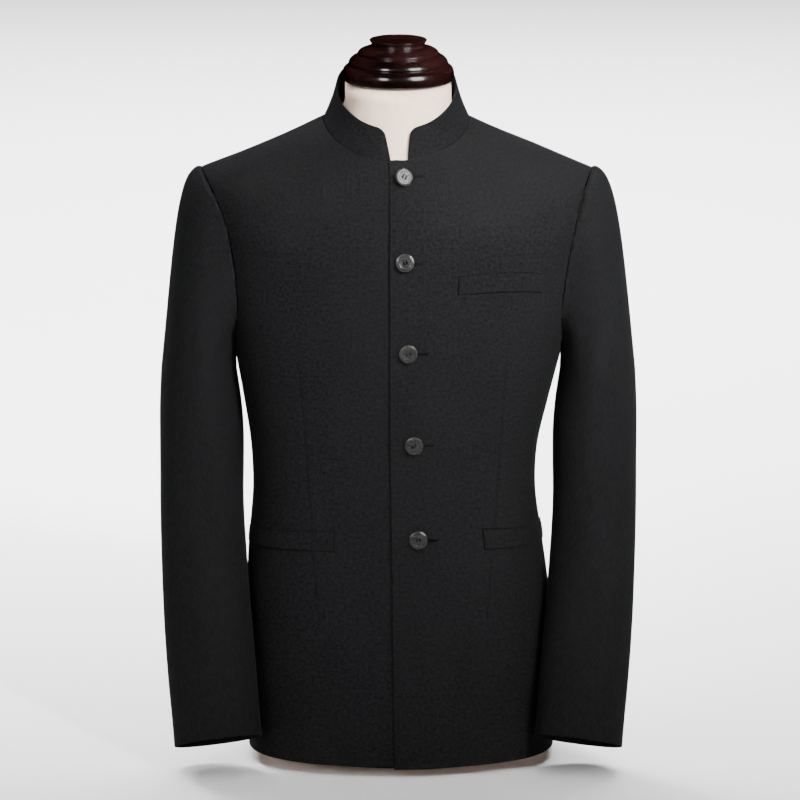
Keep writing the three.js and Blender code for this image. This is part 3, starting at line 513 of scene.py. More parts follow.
def body_wall(theta, v, lift=np.zeros_like, drop=0, dart=0):
    """The outer and inner grids of a body panel: the jacket's point, raised by lift(x) and the drape, and
    lowered by the drop near the closing. At a distance d in mm from its dart a front is raised by
    0.3 mm * exp(-(d / 5)^2) - 0.75 mm * exp(-(d / 1.6)^2). Gives also the distance from the dart, along which
    the suiting paints a line of shade."""
    points = body_point(JACKET, theta, v)
    out = jacket_facing(theta, v)
    raised = lift(points[..., 0]) + drape(points)
    marks = np.full(theta.shape, FAR)
    if dart:
        distance, there = dart_line(points, dart)
        ridge, groove = 0.3 * np.exp(-((distance / 5) ** 2)), 0.75 * np.exp(-((distance / 1.6) ** 2))
        raised = raised + there * (ridge - groove)
        marks = np.where(there > 0.02, distance / np.maximum(there, 0.05), FAR)
    outer = points + out * raised[..., None]
    inner = outer - out * CLOTH
    for grid in (outer, inner):
        grid[..., 2] -= drop * (1 - smooth_step(0, 120, np.abs(points[..., 0])))
    return outer, inner, marks


# Sleeves


def armhole_ring(hand):
    """Armhole points, 12 to a step, from the shoulder tip down the front, under the arm and up the back; and
    the angle of each round the sleeve, which grows with the distance along the armhole: 0 at the tip, half a
    turn at the middle of the foot."""
    fine = 12
    w = np.arange((TOP_STEP - FOOT_STEP) * fine + 1) / fine + FOOT_STEP
    parts = []
    for side in ("front", "back"):
        v_steps, _, outer = panel_edges(hand, side)
        outer[-1] = hand * angle_across(SHOULDER_TIP / TOP_HALF, side == "front")
        angle = smooth_curve(np.arange(FOOT_STEP, TOP_STEP + 1, dtype=float), outer[FOOT_STEP:], w)
        parts.append(body_point(JACKET, angle, np.interp(w, np.arange(TOP_STEP + 1), v_steps)))
    theta = hand * np.linspace(FRONT_SEAM, BACK_SEAM, 4 * fine + 1)
    foot = body_at_height(JACKET, theta, armhole_foot(theta))
    ring = np.concatenate([parts[0][:0:-1], foot[:-1], parts[1][:-1], parts[0][-1:]])
    run = run_along(ring, 0)
    down = run[RING_STEPS // 2 * fine]
    up = run[-1] - down
    angles = np.where(run <= down, math.pi * run / down, math.pi + math.pi * (run - down) / up)
    return np.arange(len(ring)) / fine, ring, angles


def sleeve_ring_point(hand, z, angle):
    """A leaning oval: x + half_x cos, y - half_y sin, z + front rise * sin - inner rise * cos."""
    ring = {name: read(SLEEVE_RINGS, name, z) for name in SLEEVE_RINGS}
    out, forward = np.cos(angle), np.sin(angle)
    x = hand * (ring["x"] + ring["half_x"] * out)
    y = ring["y"] - ring["half_y"] * forward
    return np.stack([x, y, z + ring["front_rise"] * forward - ring["inner_rise"] * out], -1)


def sleeve_point(hand, start, angle, s):
    """A sleeve's column from its armhole point: up to step 6 a cubic Bezier curve that leaves level, reaches
    out furthest at the shoulder and lands on the upper arm's ring; below that the leaning ovals down to the
    cuff."""
    t = np.clip(s / CAP_STEPS, 0, 1)[..., None]
    top = (1 + np.cos(angle)) / 2
    level = np.stack([np.full_like(top, hand), top * 0, top * 0], -1)
    upright = np.stack([top * 0, top * 0, top * 0 + 1], -1)
    begin = start + level * 0.45
    end = sleeve_ring_point(hand, np.full_like(angle, CAP_FOOT_Z), angle)
    reach = mix(13 * np.sin(math.pi * top), 26, top**3)
    first = begin + level * reach[..., None] + upright * (4 * top**4)[..., None]
    rise = mix(6, 158, top**1.7)
    second = end - level * (rise * 0.095 * top)[..., None] + upright * rise[..., None]
    curve = begin * (1 - t) ** 3 + 3 * first * t * (1 - t) ** 2 + 3 * second * t**2 * (1 - t) + end * t**3
    z = mix(CAP_FOOT_Z, CUFF_Z, np.clip((s - CAP_STEPS) / (SLEEVE_STEPS - CAP_STEPS), 0, 1))
    return np.where((s <= CAP_STEPS)[..., None], curve, sleeve_ring_point(hand, z, angle))


def sleeve_folds(points, angle, s):
    """Eased fullness at the sleeve head and soft drag folds over the inner elbow, in millimetres."""
    top = (1 + np.cos(angle)) / 2
    head = 0.9 * top**1.5 * np.exp(-(((s - 0.35) / 0.3) ** 2))
    z, bent = points[..., 2], np.maximum(np.sin(angle - 0.5), 0)
    elbow = 0.9 * np.exp(-(((z - 330) / 85) ** 2)) * bent * np.sin(z / 17 + 1.6 * np.cos(angle))
    waves = 0.5 * np.sin(z / 63 + 2 * np.sin(angle)) + 0.35 * np.sin(z / 39 - 3 * np.cos(angle) + 1)
    return head + (elbow + waves) * smooth_step(2, 7, s) * smooth_step(SLEEVE_STEPS, SLEEVE_STEPS - 2, s)


def sleeve_piece(hand, first, last):
    """The grids of the sleeve between two places of its ring."""
    place, ring, angles = armhole_ring(hand)
    u, roll_u = stations(first - SLEEVE_OVERLAP, last + SLEEVE_OVERLAP, 10, 0.03)
    s, roll_s = stations(0, SLEEVE_STEPS, 11, 0.03)
    turn = u % RING_STEPS
    shape = (len(s), len(u))
    start = np.stack([np.interp(turn, place, ring[:, k]) for k in range(3)], -1)
    start = np.broadcast_to(start, shape + (3,))
    angle = np.broadcast_to(np.interp(turn, place, angles) + TURN * (u >= RING_STEPS), shape)
    rows = np.broadcast_to(s[:, None], shape)
    points = sleeve_point(hand, start, angle, rows)
    out = hand * unit(np.cross(np.gradient(points, u, axis=1), -np.gradient(points, -s, axis=0)))
    outer = points + out * sleeve_folds(points, angle, rows)[..., None]
    return outer, outer - out * CLOTH, crossed(roll_s, roll_u)


# The stand collar


def neck_edge(angle):
    """The neck opening's edge at an angle round it from the centre front."""
    front = np.cos(angle) > 0
    turn = angle_across(np.abs(NECK["half"] * np.sin(angle) / TOP_HALF), front)
    return body_point(JACKET, np.where(np.sin(angle) < 0, -1, 1) * turn, np.ones_like(angle))


def collar_point(base_angle, top_angle, rise):
    """A straight line from inside the neck seam to the top edge's oval, curved in by
    1.4 mm * sin(pi * rise)."""
    base = neck_edge(base_angle)
    base[..., 2] -= COLLAR_TUCK
    edge = np.where(np.cos(top_angle) > 0, COLLAR_TOP["front"], COLLAR_TOP["back"])
    y = mix(COLLAR_TOP["y"], edge, np.abs(np.cos(top_angle)))
    x = COLLAR_TOP["half"] * np.sin(top_angle) + read(BODY_ROWS, "lean", base[..., 2])
    top = np.stack([x, y, read(COLLAR_HEIGHTS, "z", y)], -1)
    inward = np.stack([-np.sin(top_angle), np.cos(top_angle), top_angle * 0], -1)
    return mix(base, top, rise[..., None]) + inward * (1.4 * np.sin(math.pi * rise))[..., None]


def collar_grids():
    """The collar from the left front's end round the neck to the right's. Its two upper corners are quarter
    circles: near an end the top edge is lower by r - sqrt(r^2 - d^2). Gives also the distance in millimetres
    from the line where it meets the neck seam, along which the suiting paints a line of shade."""
    start_base = math.asin(COLLAR_ENDS["left"][0] / NECK["half"])
    end_base = TURN + math.asin(COLLAR_ENDS["right"][0] / NECK["half"])
    start = math.asin(COLLAR_ENDS["left"][1] / COLLAR_TOP["half"])
    span = TURN + math.asin(COLLAR_ENDS["right"][1] / COLLAR_TOP["half"]) - start
    corner = COLLAR_CORNER / COLLAR_TOP["half"]
    ends = corner * np.linspace(0, 1, 24) ** 1.8
    offset = np.concatenate([ends, np.linspace(corner, span - corner, 340)[1:-1], span - ends[::-1]])
    from_end = np.minimum(offset, span - offset) * COLLAR_TOP["half"]
    roll_u = np.clip(from_end / 1.1, 0, 1)
    row, roll_w = stations(0, 1, 24, 0.035)
    shape = (len(row), len(offset))
    base_angle = np.broadcast_to(mix(start_base, end_base, offset / span), shape)
    top_angle = np.broadcast_to(start + offset, shape)
    short = COLLAR_CORNER - np.minimum(from_end, COLLAR_CORNER)
    lowered = COLLAR_CORNER - np.sqrt(np.maximum(COLLAR_CORNER**2 - short**2, 0))
    ends = (np.zeros(len(offset)), np.ones(len(offset)))
    foot, top = (collar_point(base_angle[0], top_angle[0], end) for end in ends)
    whole = np.linalg.norm(top - foot, axis=-1)
    rise = row[:, None] * (1 - lowered / whole)
    outer, below, above = (collar_point(base_angle, top_angle, rise + step) for step in (0, -0.01, 0.01))
    round_neck = np.stack([np.cos(top_angle), np.sin(top_angle), top_angle * 0], -1)
    out = unit(np.cross(round_neck, above - below))
    from_line = np.maximum(rise * whole - COLLAR_LINE, 0)
    return outer, outer - out * COLLAR_CLOTH, crossed(roll_w, roll_u), from_line


# Welts


def welt_grids(first, last, facts):
    """A strip that lies on the jacket between two angles and two edges, each a line bowed by
    4 * bow * t * (1 - t).

    It crowns by 0.2 mm along its middle, and a stitch line sinks by 0.3 mm 2.2 mm inside its top edge. Gives
    also the distance from its edges, drawn in to 0.6 of it, along which the suiting paints a line of shade."""
    u, roll_u = stations(0, 1, 110, 0.009)
    w, roll_w = stations(0, 1, 20, 0.045)
    foot, top = (
        (mix(inner, outer, u) + 4 * bow * u * (1 - u))[None, :]
        for inner, outer, bow in (facts["foot"], facts["top"])
    )
    z = mix(foot, top, w[:, None])
    theta = np.broadcast_to(mix(first, last, u), z.shape)
    points = body_at_height(JACKET, theta, z)
    out = height_facing(theta, z)
    base = drape(points)
    below_top, above_foot = (1 - w[:, None]) * (top - foot), w[:, None] * (top - foot)
    from_end = run_along(points, 1)[0, -1] * np.minimum(u, 1 - u)[None, :]
    crown = 0.2 * np.sin(math.pi * w)[:, None] - 0.3 * np.exp(-(((below_top - 2.2) / 0.55) ** 2))
    edge = 0.6 * np.minimum(np.minimum(below_top, above_foot), from_end)
    levels = (base + WELT_OUT + crown, base - WELT_IN)
    outer, inner = (points + out * level[..., None] for level in levels)
    return outer, inner, crossed(roll_w, roll_u), edge


def angle_after(start, hand, z, length):
    """The angle reached by going a length round the body from a start at a height."""
    theta = start + hand * np.linspace(0, QUARTER * 1.3, 1200)
    run = run_along(body_at_height(JACKET, theta, np.full_like(theta, z)), 0)
    return float(np.interp(length, run, theta))


# Making meshes


def grid_faces(rows, columns, closed=False):
    """The quads between a grid's points, numbered row by row. A closed grid joins its last column to its
    first."""
    number = np.arange(rows * columns).reshape(rows, columns)
    if closed:
        number = np.concatenate([number, number[:, :1]], 1)
    return np.stack([number[:-1, :-1], number[:-1, 1:], number[1:, 1:], number[1:, :-1]], -1).reshape(-1, 4)


def wall_of(outer, inner, rolls):
    """A closed wall between two grids. Where roll goes from 1 to 0 both faces draw in to the wall's middle by
    sqrt(1 - (1 - roll)^2), so that its edge is round. Gives points, faces and each point's number."""
    middle = (outer + inner) / 2
    full = np.sqrt(1 - (1 - rolls) ** 2)[..., None]
    points = np.concatenate([(middle + (face - middle) * full).reshape(-1, 3) for face in (outer, inner)])
    quads = grid_faces(*rolls.shape)
    count = rolls.size
    number = np.arange(count)
    inside = np.where(rolls.ravel() <= 0, number, number + count)
    faces = np.concatenate([quads, inside[quads[:, ::-1]]])
    used, back = np.unique(faces, return_inverse=True)
    return points[used], back.reshape(-1, 4), used % count


def turned_out(points, faces):
    """The faces, turned round if the closed mesh that they make has a negative volume."""
    a, b, c, d = (points[faces[:, k]] for k in range(4))
    volume = np.sum(a * np.cross(b, c)) + np.sum(a * np.cross(c, d))
    return faces if volume > 0 else faces[:, ::-1]


def joined(grids):
    """Several closed grids as one list of points and quads."""
    points, faces, count = [], [], 0
    for grid in grids:
        points.append(grid.reshape(-1, 3))
        faces.append(turned_out(points[-1], grid_faces(*grid.shape[:2], closed=True)) + count)
        count += len(points[-1])
    return np.concatenate(points), np.concatenate(faces)


def cut_of(grid):
    """A grid's flat pattern: the distance along its rows and up its columns, point by point."""
    return np.stack([run_along(grid, 1), run_along(grid, 0)], -1).reshape(-1, 2)


def add_piece(name, points, faces, material, slot, replaced=(), cut=None, crease_shade_distance=None):
    """Puts points in millimetres and quads into a new object that rides on the part's body. Cut becomes its
    UV map, in metres, and the last argument each point's distance in millimetres from a pressed line, where
    the suiting paints a line of shade and bumps in a crease."""
    points = points + SHIFT
    faces = turned_out(points, faces)
    mesh = bpy.data.meshes.new(name)
    mesh.from_pydata((points * MM).tolist(), [], faces.tolist())
    if cut is not None:
        layer = mesh.uv_layers.new(name="cut")
        layer.data.foreach_set("uv", (cut * MM)[faces.ravel()].ravel().astype(np.float32))
    if crease_shade_distance is not None:
        layer = mesh.attributes.new("crease_shade_distance", "FLOAT", "POINT")
        layer.data.foreach_set("value", crease_shade_distance.astype(np.float32))
    work = bmesh.new()
    work.from_mesh(mesh)
    bmesh.ops.remove_doubles(work, verts=work.verts, dist=1e-7)
    work.to_mesh(mesh)
    work.free()
    mesh.shade_smooth()
    mesh.materials.append(material)
    piece = bpy.data.objects.new(name, mesh)
    bpy.context.scene.collection.objects.link(piece)
    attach(piece, "root")
    if replaced:
        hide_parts(*replaced)
    return piece


def add_cloth(name, outer, inner, rolls, marks=None):
    """The cloth piece that stands for a node, with marks that give the distance from a dart, edge or seam,
    along which the suiting paints a line of shade.
    """
    points, faces, number = wall_of(outer, inner, rolls)
    crease_shade_distance = (np.full(rolls.shape, FAR) if marks is None else marks).reshape(-1)[number]
    cloth, cut = materials()["suiting"], cut_of(outer)[number]
    return add_piece(f"{name}_cloth", points, faces, cloth, "suiting", (name,), cut, crease_shade_distance)


# Materials


def nodes_of(name):
    """A new material with its node tree and its Principled shader."""
    material = bpy.data.materials.new(name)
    material.use_nodes = True
    tree = material.node_tree
    return material, tree, tree.nodes["Principled BSDF"]


def set_inputs(tree, node, inputs):
    """Sets a node's sockets, by name or as _number, to a value or links another node's output to them."""
    for key, value in inputs.items():
        socket = node.inputs[int(key[1:])] if key[0] == "_" else node.inputs[key.replace("_", " ")]
        if isinstance(value, bpy.types.NodeSocket):
            tree.links.new(value, socket)
        else:
            socket.default_value = value


def add_node(tree, kind, settings=None, **inputs):
    """A node with settings on itself and inputs on its sockets."""
    node = tree.nodes.new(kind)
    for key, value in (settings or {}).items():
        setattr(node, key, value)
    set_inputs(tree, node, inputs)
    return node


def math_node(tree, operation, a, b=0.0):
    """One Math node's output."""
    return add_node(tree, "ShaderNodeMath", {"operation": operation}, _0=a, _1=b).outputs[0]


def noise(tree, place, scale, detail, **inputs):
    """A noise's value over a place."""
    node = add_node(tree, "ShaderNodeTexNoise", None, Vector=place, Scale=scale, Detail=detail, **inputs)
    return node.outputs["Fac"]


def stretched(tree, place, scale, rotation=(0.0, 0.0, 0.0)):
    """A place that is turned and scaled."""
    return add_node(tree, "ShaderNodeMapping", None, Vector=place, Scale=scale, Rotation=rotation).outputs[0]


def bumps(tree, height, strength, distance):
    """The normal of a surface that is raised by a height."""
    node = add_node(tree, "ShaderNodeBump", None, Height=height, Strength=strength, Distance=distance)
    return node.outputs["Normal"]


def object_place(tree):
    """Object coordinates."""
    return add_node(tree, "ShaderNodeTexCoord").outputs["Object"]


def cut_place(tree):
    """The cloth's own flat pattern."""
    return add_node(tree, "ShaderNodeUVMap", {"uv_map": "cut"}).outputs["UV"]


def weave_of(tree, cut, pitch, wobble=0.0):
    """Threads across and along the cut: sin(full turn * x / pitch + wobble) * sin(full turn * y / pitch +
    wobble)."""
    split = add_node(tree, "ShaderNodeSeparateXYZ", Vector=cut)
    threads = []
    for axis in ("X", "Y"):
        line = math_node(tree, "MULTIPLY", split.outputs[axis], TURN / pitch)
        threads.append(math_node(tree, "SINE", math_node(tree, "ADD", line, wobble)))
    return math_node(tree, "MULTIPLY", *threads)


def blend_of(tree, first, first_share, second, second_share):
    """The sum of two values, each times its share."""
    first_part = math_node(tree, "MULTIPLY", first, first_share)
    return math_node(tree, "ADD", first_part, math_node(tree, "MULTIPLY", second, second_share))


def shades(tree, value, colour, dark, light, low, high):
    """A colour ramp from a darker to a lighter tone of a colour, between two places of a value."""
    ramp = add_node(tree, "ShaderNodeValToRGB", None, Fac=value)
    for element, place, factor in zip(ramp.color_ramp.elements, (low, high), (dark, light)):
        element.position = place
        element.color = (*(min(1, c * factor) for c in colour), 1)
    return ramp.outputs["Color"]


def suiting_material(colours, sizes):
    """Fine worsted: a weave of threads across and along the cut, slubs, a mottle, and painted shade: dark
    lines where the point attribute, a distance in millimetres from a pressed line, is near 0: at darts, at
    the welts' edges, at the foot of the collar and at the centre-back seam. These lines stand in for the
    shade in the creases there, which are also bumped in."""
    material, tree, shader = nodes_of("black_suiting")
    cut = cut_place(tree)
    weave = weave_of(tree, cut, sizes.weave_pitch)
    slub = noise(tree, cut, 620.0, 3.0, Roughness=0.6)
    mottle = noise(tree, cut, 300.0, 2.0, Roughness=0.55)
    broad = noise(tree, cut, 14.0, 2.0, Roughness=0.5)
    tones = shades(tree, blend_of(tree, mottle, 0.9, broad, 0.12), colours.cloth, 0.45, 1.6, 0.3, 0.75)
    # Near a pressed line the colour is darkened to a painted shade, standing in for the shade in the crease,
    # and the crease is bumped in
    distance = add_node(tree, "ShaderNodeAttribute", {"attribute_name": "crease_shade_distance"}).outputs["Fac"]
    away = math_node(tree, "MULTIPLY", math_node(tree, "ABSOLUTE", distance), 1.5)
    line = add_node(tree, "ShaderNodeClamp", None, Value=math_node(tree, "SUBTRACT", 1.0, away)).outputs[0]
    share = math_node(tree, "MULTIPLY", line, 0.75)
    # The colour of the painted shade in the creases
    dark = (0.0015, 0.0015, 0.0015, 1)
    shade = add_node(tree, "ShaderNodeMix", {"data_type": "RGBA"}, _0=share, _6=tones, _7=dark)
    height = math_node(tree, "ADD", math_node(tree, "MULTIPLY", weave, 0.3), slub)
    height = math_node(tree, "SUBTRACT", height, math_node(tree, "MULTIPLY", line, 2.0))
    look = {
        "Base_Color": shade.outputs[2],
        "Normal": bumps(tree, height, 0.55, 0.00012),
        "Roughness": 0.85,
        "Specular_IOR_Level": 0.05,
        "Sheen_Weight": 0.012,
        "Sheen_Roughness": 0.5,
        "Sheen_Tint": (0.75, 0.77, 0.8, 1),
    }
    set_inputs(tree, shader, look)
    return material


def plain_look(tree, shader, tones, normal, roughness, specular):
    """A matt surface without a coat."""
    look = {"Base_Color": tones, "Normal": normal, "Roughness": roughness, "Specular_IOR_Level": specular}
    set_inputs(tree, shader, look)


def glossy_look(tree, shader, tones, normal, wear, smoothest, coat, coat_roughness):
    """A coated surface, whose roughness under the coat goes from its smoothest to 0.34 with the wear."""
    rough = add_node(tree, "ShaderNodeMapRange", None, Value=wear, _3=smoothest, _4=0.34).outputs[0]
    look = {"Base_Color": tones, "Normal": normal, "Roughness": rough}
    set_inputs(tree, shader, {**look, "Coat_Weight": coat, "Coat_Roughness": coat_roughness})


def thread_material(colours):
    """Black buttonhole silk: twisted ply seen as fine slanting ridges."""
    material, tree, shader = nodes_of("black_silk_thread")
    bands = {"bands_direction": "DIAGONAL"}
    place = object_place(tree)
    wave = add_node(
        tree, "ShaderNodeTexWave", bands, Vector=place, Scale=700.0, Distortion=1.5, Detail=1.0
    )
    ply = wave.outputs["Fac"]
    tones = shades(tree, ply, colours.cloth, 0.2, 0.7, 0, 1)
    plain_look(tree, shader, tones, bumps(tree, ply, 0.4, 0.0001), 0.7, 0.04)
    return material


def button_material(colours):
    """Polished dark resin like horn: smoky streaks under a gloss, fine scratches in it."""
    material, tree, shader = nodes_of("smoky_button")
    place = object_place(tree)
    turned = stretched(tree, place, (90.0, 90.0, 420.0), (0.3, 0.2, 0.9))
    streaks = noise(tree, turned, 1.6, 4.0, Distortion=1.2)
    tones = shades(tree, streaks, colours.button, 0.8, 1.25, 0.35, 0.75)
    scratches = noise(tree, place, 1800.0, 2.0)
    normal = bumps(tree, scratches, 0.08, 0.0001)
    glossy_look(tree, shader, tones, normal, scratches, 0.2, 0.8, 0.2)
    return material


def linen_material(colours):
    """The form's cover: cream linen, uneven threads up and across, a little foxing."""
    material, tree, shader = nodes_of("cream_linen")
    cut = cut_place(tree)
    wobble = math_node(tree, "MULTIPLY", noise(tree, cut, 240.0, 2.0), 5.0)
    weave = weave_of(tree, cut, 0.0011, wobble)
    slub = noise(tree, stretched(tree, cut, (900.0, 90.0, 1.0)), 1.0, 3.0)
    foxing = noise(tree, cut, 26.0, 4.0, Roughness=0.6)
    tones = shades(tree, blend_of(tree, slub, 0.5, foxing, 0.5), colours.linen, 0.84, 1.04, 0.3, 0.68)
    height = math_node(tree, "ADD", math_node(tree, "MULTIPLY", weave, 0.6), slub)
    plain_look(tree, shader, tones, bumps(tree, height, 0.4, 0.0002), 0.9, 0.2)
    return material


def wood_material(colours):
    """Turned hardwood under dark red lacquer: fine straight grain, darker in the pores, brushed gloss."""
    material, tree, shader = nodes_of("lacquered_wood")
    place = object_place(tree)
    grain = noise(tree, stretched(tree, place, (14.0, 150.0, 150.0)), 1.5, 6.0, Distortion=0.4)
    clouds = noise(tree, place, 11.0, 1.0)
    tones = shades(tree, blend_of(tree, grain, 0.45, clouds, 0.55), colours.wood, 0.1, 1.0, 0.4, 0.68)
    glossy_look(tree, shader, tones, bumps(tree, grain, 0.06, 0.0003), clouds, 0.18, 0.9, 0.1)
    return material


def backdrop_material(colours):
    """Pale studio floor with barely seen unevenness."""
    material, tree, shader = nodes_of("pale_floor")
    clouds = noise(tree, object_place(tree), 3.0, 2.0)
    tones = shades(tree, clouds, colours.floor, 0.985, 1, 0, 1)
    set_inputs(tree, shader, {"Base_Color": tones, "Roughness": 0.9})
    return material


MADE = {}


def materials():
    """The scene's materials, made once from the colours and sizes in the panel."""
    if not MADE:
        colours, sizes = bpy.context.scene.tunic_colours, bpy.context.scene.tunic_sizes
        MADE["suiting"] = suiting_material(colours, sizes)
        MADE["thread"] = thread_material(colours)
        MADE["button"] = button_material(colours)
        MADE["linen"] = linen_material(colours)
        MADE["wood"] = wood_material(colours)
        MADE["floor"] = backdrop_material(colours)
    return MADE


def panel_length(name, description, default, precision=4):
    """A length for the panel, in metres."""
    facts = {"name": name, "description": description, "default": default}
    return bpy.props.FloatProperty(**facts, precision=precision, unit="LENGTH")


def panel_colour(name, description, default):
    """A colour for the panel."""
    facts = {"name": name, "description": description, "default": default}
    return bpy.props.FloatVectorProperty(**facts, subtype="COLOR")


class TunicSizes(bpy.types.PropertyGroup):
    """Sizes of the finer details."""

    weave_pitch: panel_length("Weave pitch", "Distance between two threads", 0.0007, 5)
    button_radius: panel_length("Button radius", "Half of a button's width", 0.01)
    buttonhole_length: panel_length("Buttonhole length", "From its bar to its eyelet", 0.0235)
    camera_distance: panel_length("Camera distance", "From the jacket's middle", 8.5, 2)
    camera_height: bpy.props.FloatProperty(
        name="Camera elevation", description="Angle above level", default=12.5 * DEGREE, subtype="ANGLE"
    )


class TunicColours(bpy.types.PropertyGroup):
    """Colours of the cloth, buttons, form and floor."""

    cloth: panel_colour("Suiting", "Middle colour of the cloth", (0.008, 0.008, 0.0086))
    button: panel_colour("Buttons", "Middle colour of the buttons", (0.024, 0.0242, 0.0238))
    linen: panel_colour("Form cover", "Colour of the linen", (0.93, 0.70, 0.555))
    wood: panel_colour("Neck cap", "Colour of the lacquered wood", (0.02, 0.006, 0.0055))
    floor: panel_colour("Floor", "Colour of the floor", (0.93, 0.93, 0.93))


class TunicOperator(bpy.types.Operator):
    """What the jacket's operators share."""

    bl_options = {"REGISTER", "UNDO"}


class MakeFronts(TunicOperator):
    """Cuts the two fronts, the left one over the right, with a pressed dart in each."""

    bl_idname = "tunic.make_fronts"
    bl_label = "Fronts"

    def execute(self, context):
        for hand, side in HANDS:
            theta, v, w, rolls = panel(hand, "front")
            lift = upper_lift if hand > 0 else np.zeros_like
            drop = 2 * np.clip(1 - w, 0, 1)[:, None] if hand > 0 else 0
            outer, inner, marks = body_wall(theta, v, lift, drop, hand)
            piece = add_cloth(f"front_{side}", outer, inner, rolls, marks)
        return {"FINISHED"}


class MakeBacks(TunicOperator):
    """Cuts the two backs, sewn down the centre: at a distance d from it each goes past it by
    0.25 mm * exp(-d / 2 mm)."""

    bl_idname = "tunic.make_backs"
    bl_label = "Backs"

    def execute(self, context):
        for hand, side in HANDS:
            theta, v, _, rolls = panel(hand, "back")
            outer, inner, _ = body_wall(theta, v)
            from_seam = (math.pi - np.abs(theta)) * BACK_RADIUS
            for grid in (outer, inner):
                grid[..., 0] -= hand * BACK_OVERLAP * np.exp(-from_seam / BACK_FADE)
            # Along the centre-back seam the suiting paints a line of shade, by this distance
            piece = add_cloth(f"back_{side}", outer, inner, rolls, from_seam)
        return {"FINISHED"}


class MakeSides(TunicOperator):
    """Cuts the side bodies, from the front seam to the back seam and up to the armhole's foot."""

    bl_idname = "tunic.make_sides"
    bl_label = "Side bodies"

    def execute(self, context):
        u, roll_u = stations(0, 4, 14, 0.055)
        w, roll_w = stations(0, FOOT_STEP, 10, 0.03)
        for hand, side in HANDS:
            around = hand * mix(FRONT_SEAM + SEAM_SLIT, BACK_SEAM - SEAM_SLIT, u / 4)
            theta = np.broadcast_to(around, (len(w), len(u)))
            v = row_of(theta, armhole_foot(theta)) * (w / FOOT_STEP)[:, None]
            outer, inner, _ = body_wall(theta, v)
            piece = add_cloth(f"side_{side}", outer, inner, crossed(roll_w, roll_u))
        return {"FINISHED"}


class MakeSleeves(TunicOperator):
    """Cuts each sleeve in two: the upper piece over the arm and the under piece next to the body."""

    bl_idname = "tunic.make_sleeves"
    bl_label = "Sleeves"

    def execute(self, context):
        for hand, side in HANDS:
            for part, first, last, flat, area in (
                ("upper", 17, 35, (0.28, 0.68), 0.12),
                ("under", 11, 17, (0.12, 0.55), 0.05),
            ):
                piece = add_cloth(f"sleeve_{side}_{part}", *sleeve_piece(hand, first, last))
        return {"FINISHED"}


class MakeCollar(TunicOperator):
    """Shapes the stand collar, open at the front."""

    bl_idname = "tunic.make_collar"
    bl_label = "Stand collar"

    def execute(self, context):
        piece = add_cloth("collar", *collar_grids())
        return {"FINISHED"}


class MakeWelts(TunicOperator):
    """Lays the chest welt and the two lower welts, which taper towards the side."""

    bl_idname = "tunic.make_welts"
    bl_label = "Pocket welts"

    def execute(self, context):
        first, last = (float(angle_at(x, CHEST_WELT["top"][0])) for x in CHEST_WELT_ENDS)
        strips = [("chest_welt", "front_left_cloth", first, last, CHEST_WELT, 0.104)]
        z = LOWER_WELT["top"][0]
        for hand, side in HANDS:
            first = float(angle_at(LOWER_WELT_INNER[hand], z))
            last = angle_after(first, hand, z, LOWER_WELT_LENGTH)
            strips.append((f"pocket_welt_{side}", f"front_{side}_cloth", first, last, LOWER_WELT, 0.134))
        for name, body, first, last, facts, width in strips:
            piece = add_cloth(name, *welt_grids(first, last, facts))
        return {"FINISHED"}


def seat(x, z, raised):
    """A point of the upper front at x and height z, raised off it, with directions to the wearer's left along
    the cloth, up it and out of it."""
    theta, z = np.array([angle_at(x, z)]), np.array([float(z)])
    out = height_facing(theta, z)[0]
    point = body_at_height(JACKET, theta, z)[0] + out * (upper_lift(x) + raised)
    level = unit(np.cross([0, 0, 1.0], out))
    return point, level, np.cross(out, level), out


def tilted(place, left_tilt, up_tilt):
    """The same place with its outward direction leaning left and up by these shares."""
    point, left, up, out = place
    out = unit(out + left * left_tilt + up * up_tilt)
    left = unit(left - out * np.dot(left, out))
    return point, left, unit(up - out * np.dot(up, out) - left * np.dot(up, left)), out


def placed(local, place):
    """Local points (left, up, out) put on the cloth."""
    point, left, up, out = place
    return point + local[..., :1] * left + local[..., 1:2] * up + local[..., 2:] * out


def turned_by(turn, a, b, c):
    """Local points (left, up, out), turned in the cloth's plane by an angle."""
    return np.stack([a * math.cos(turn) - b * math.sin(turn), a * math.sin(turn) + b * math.cos(turn), c], -1)


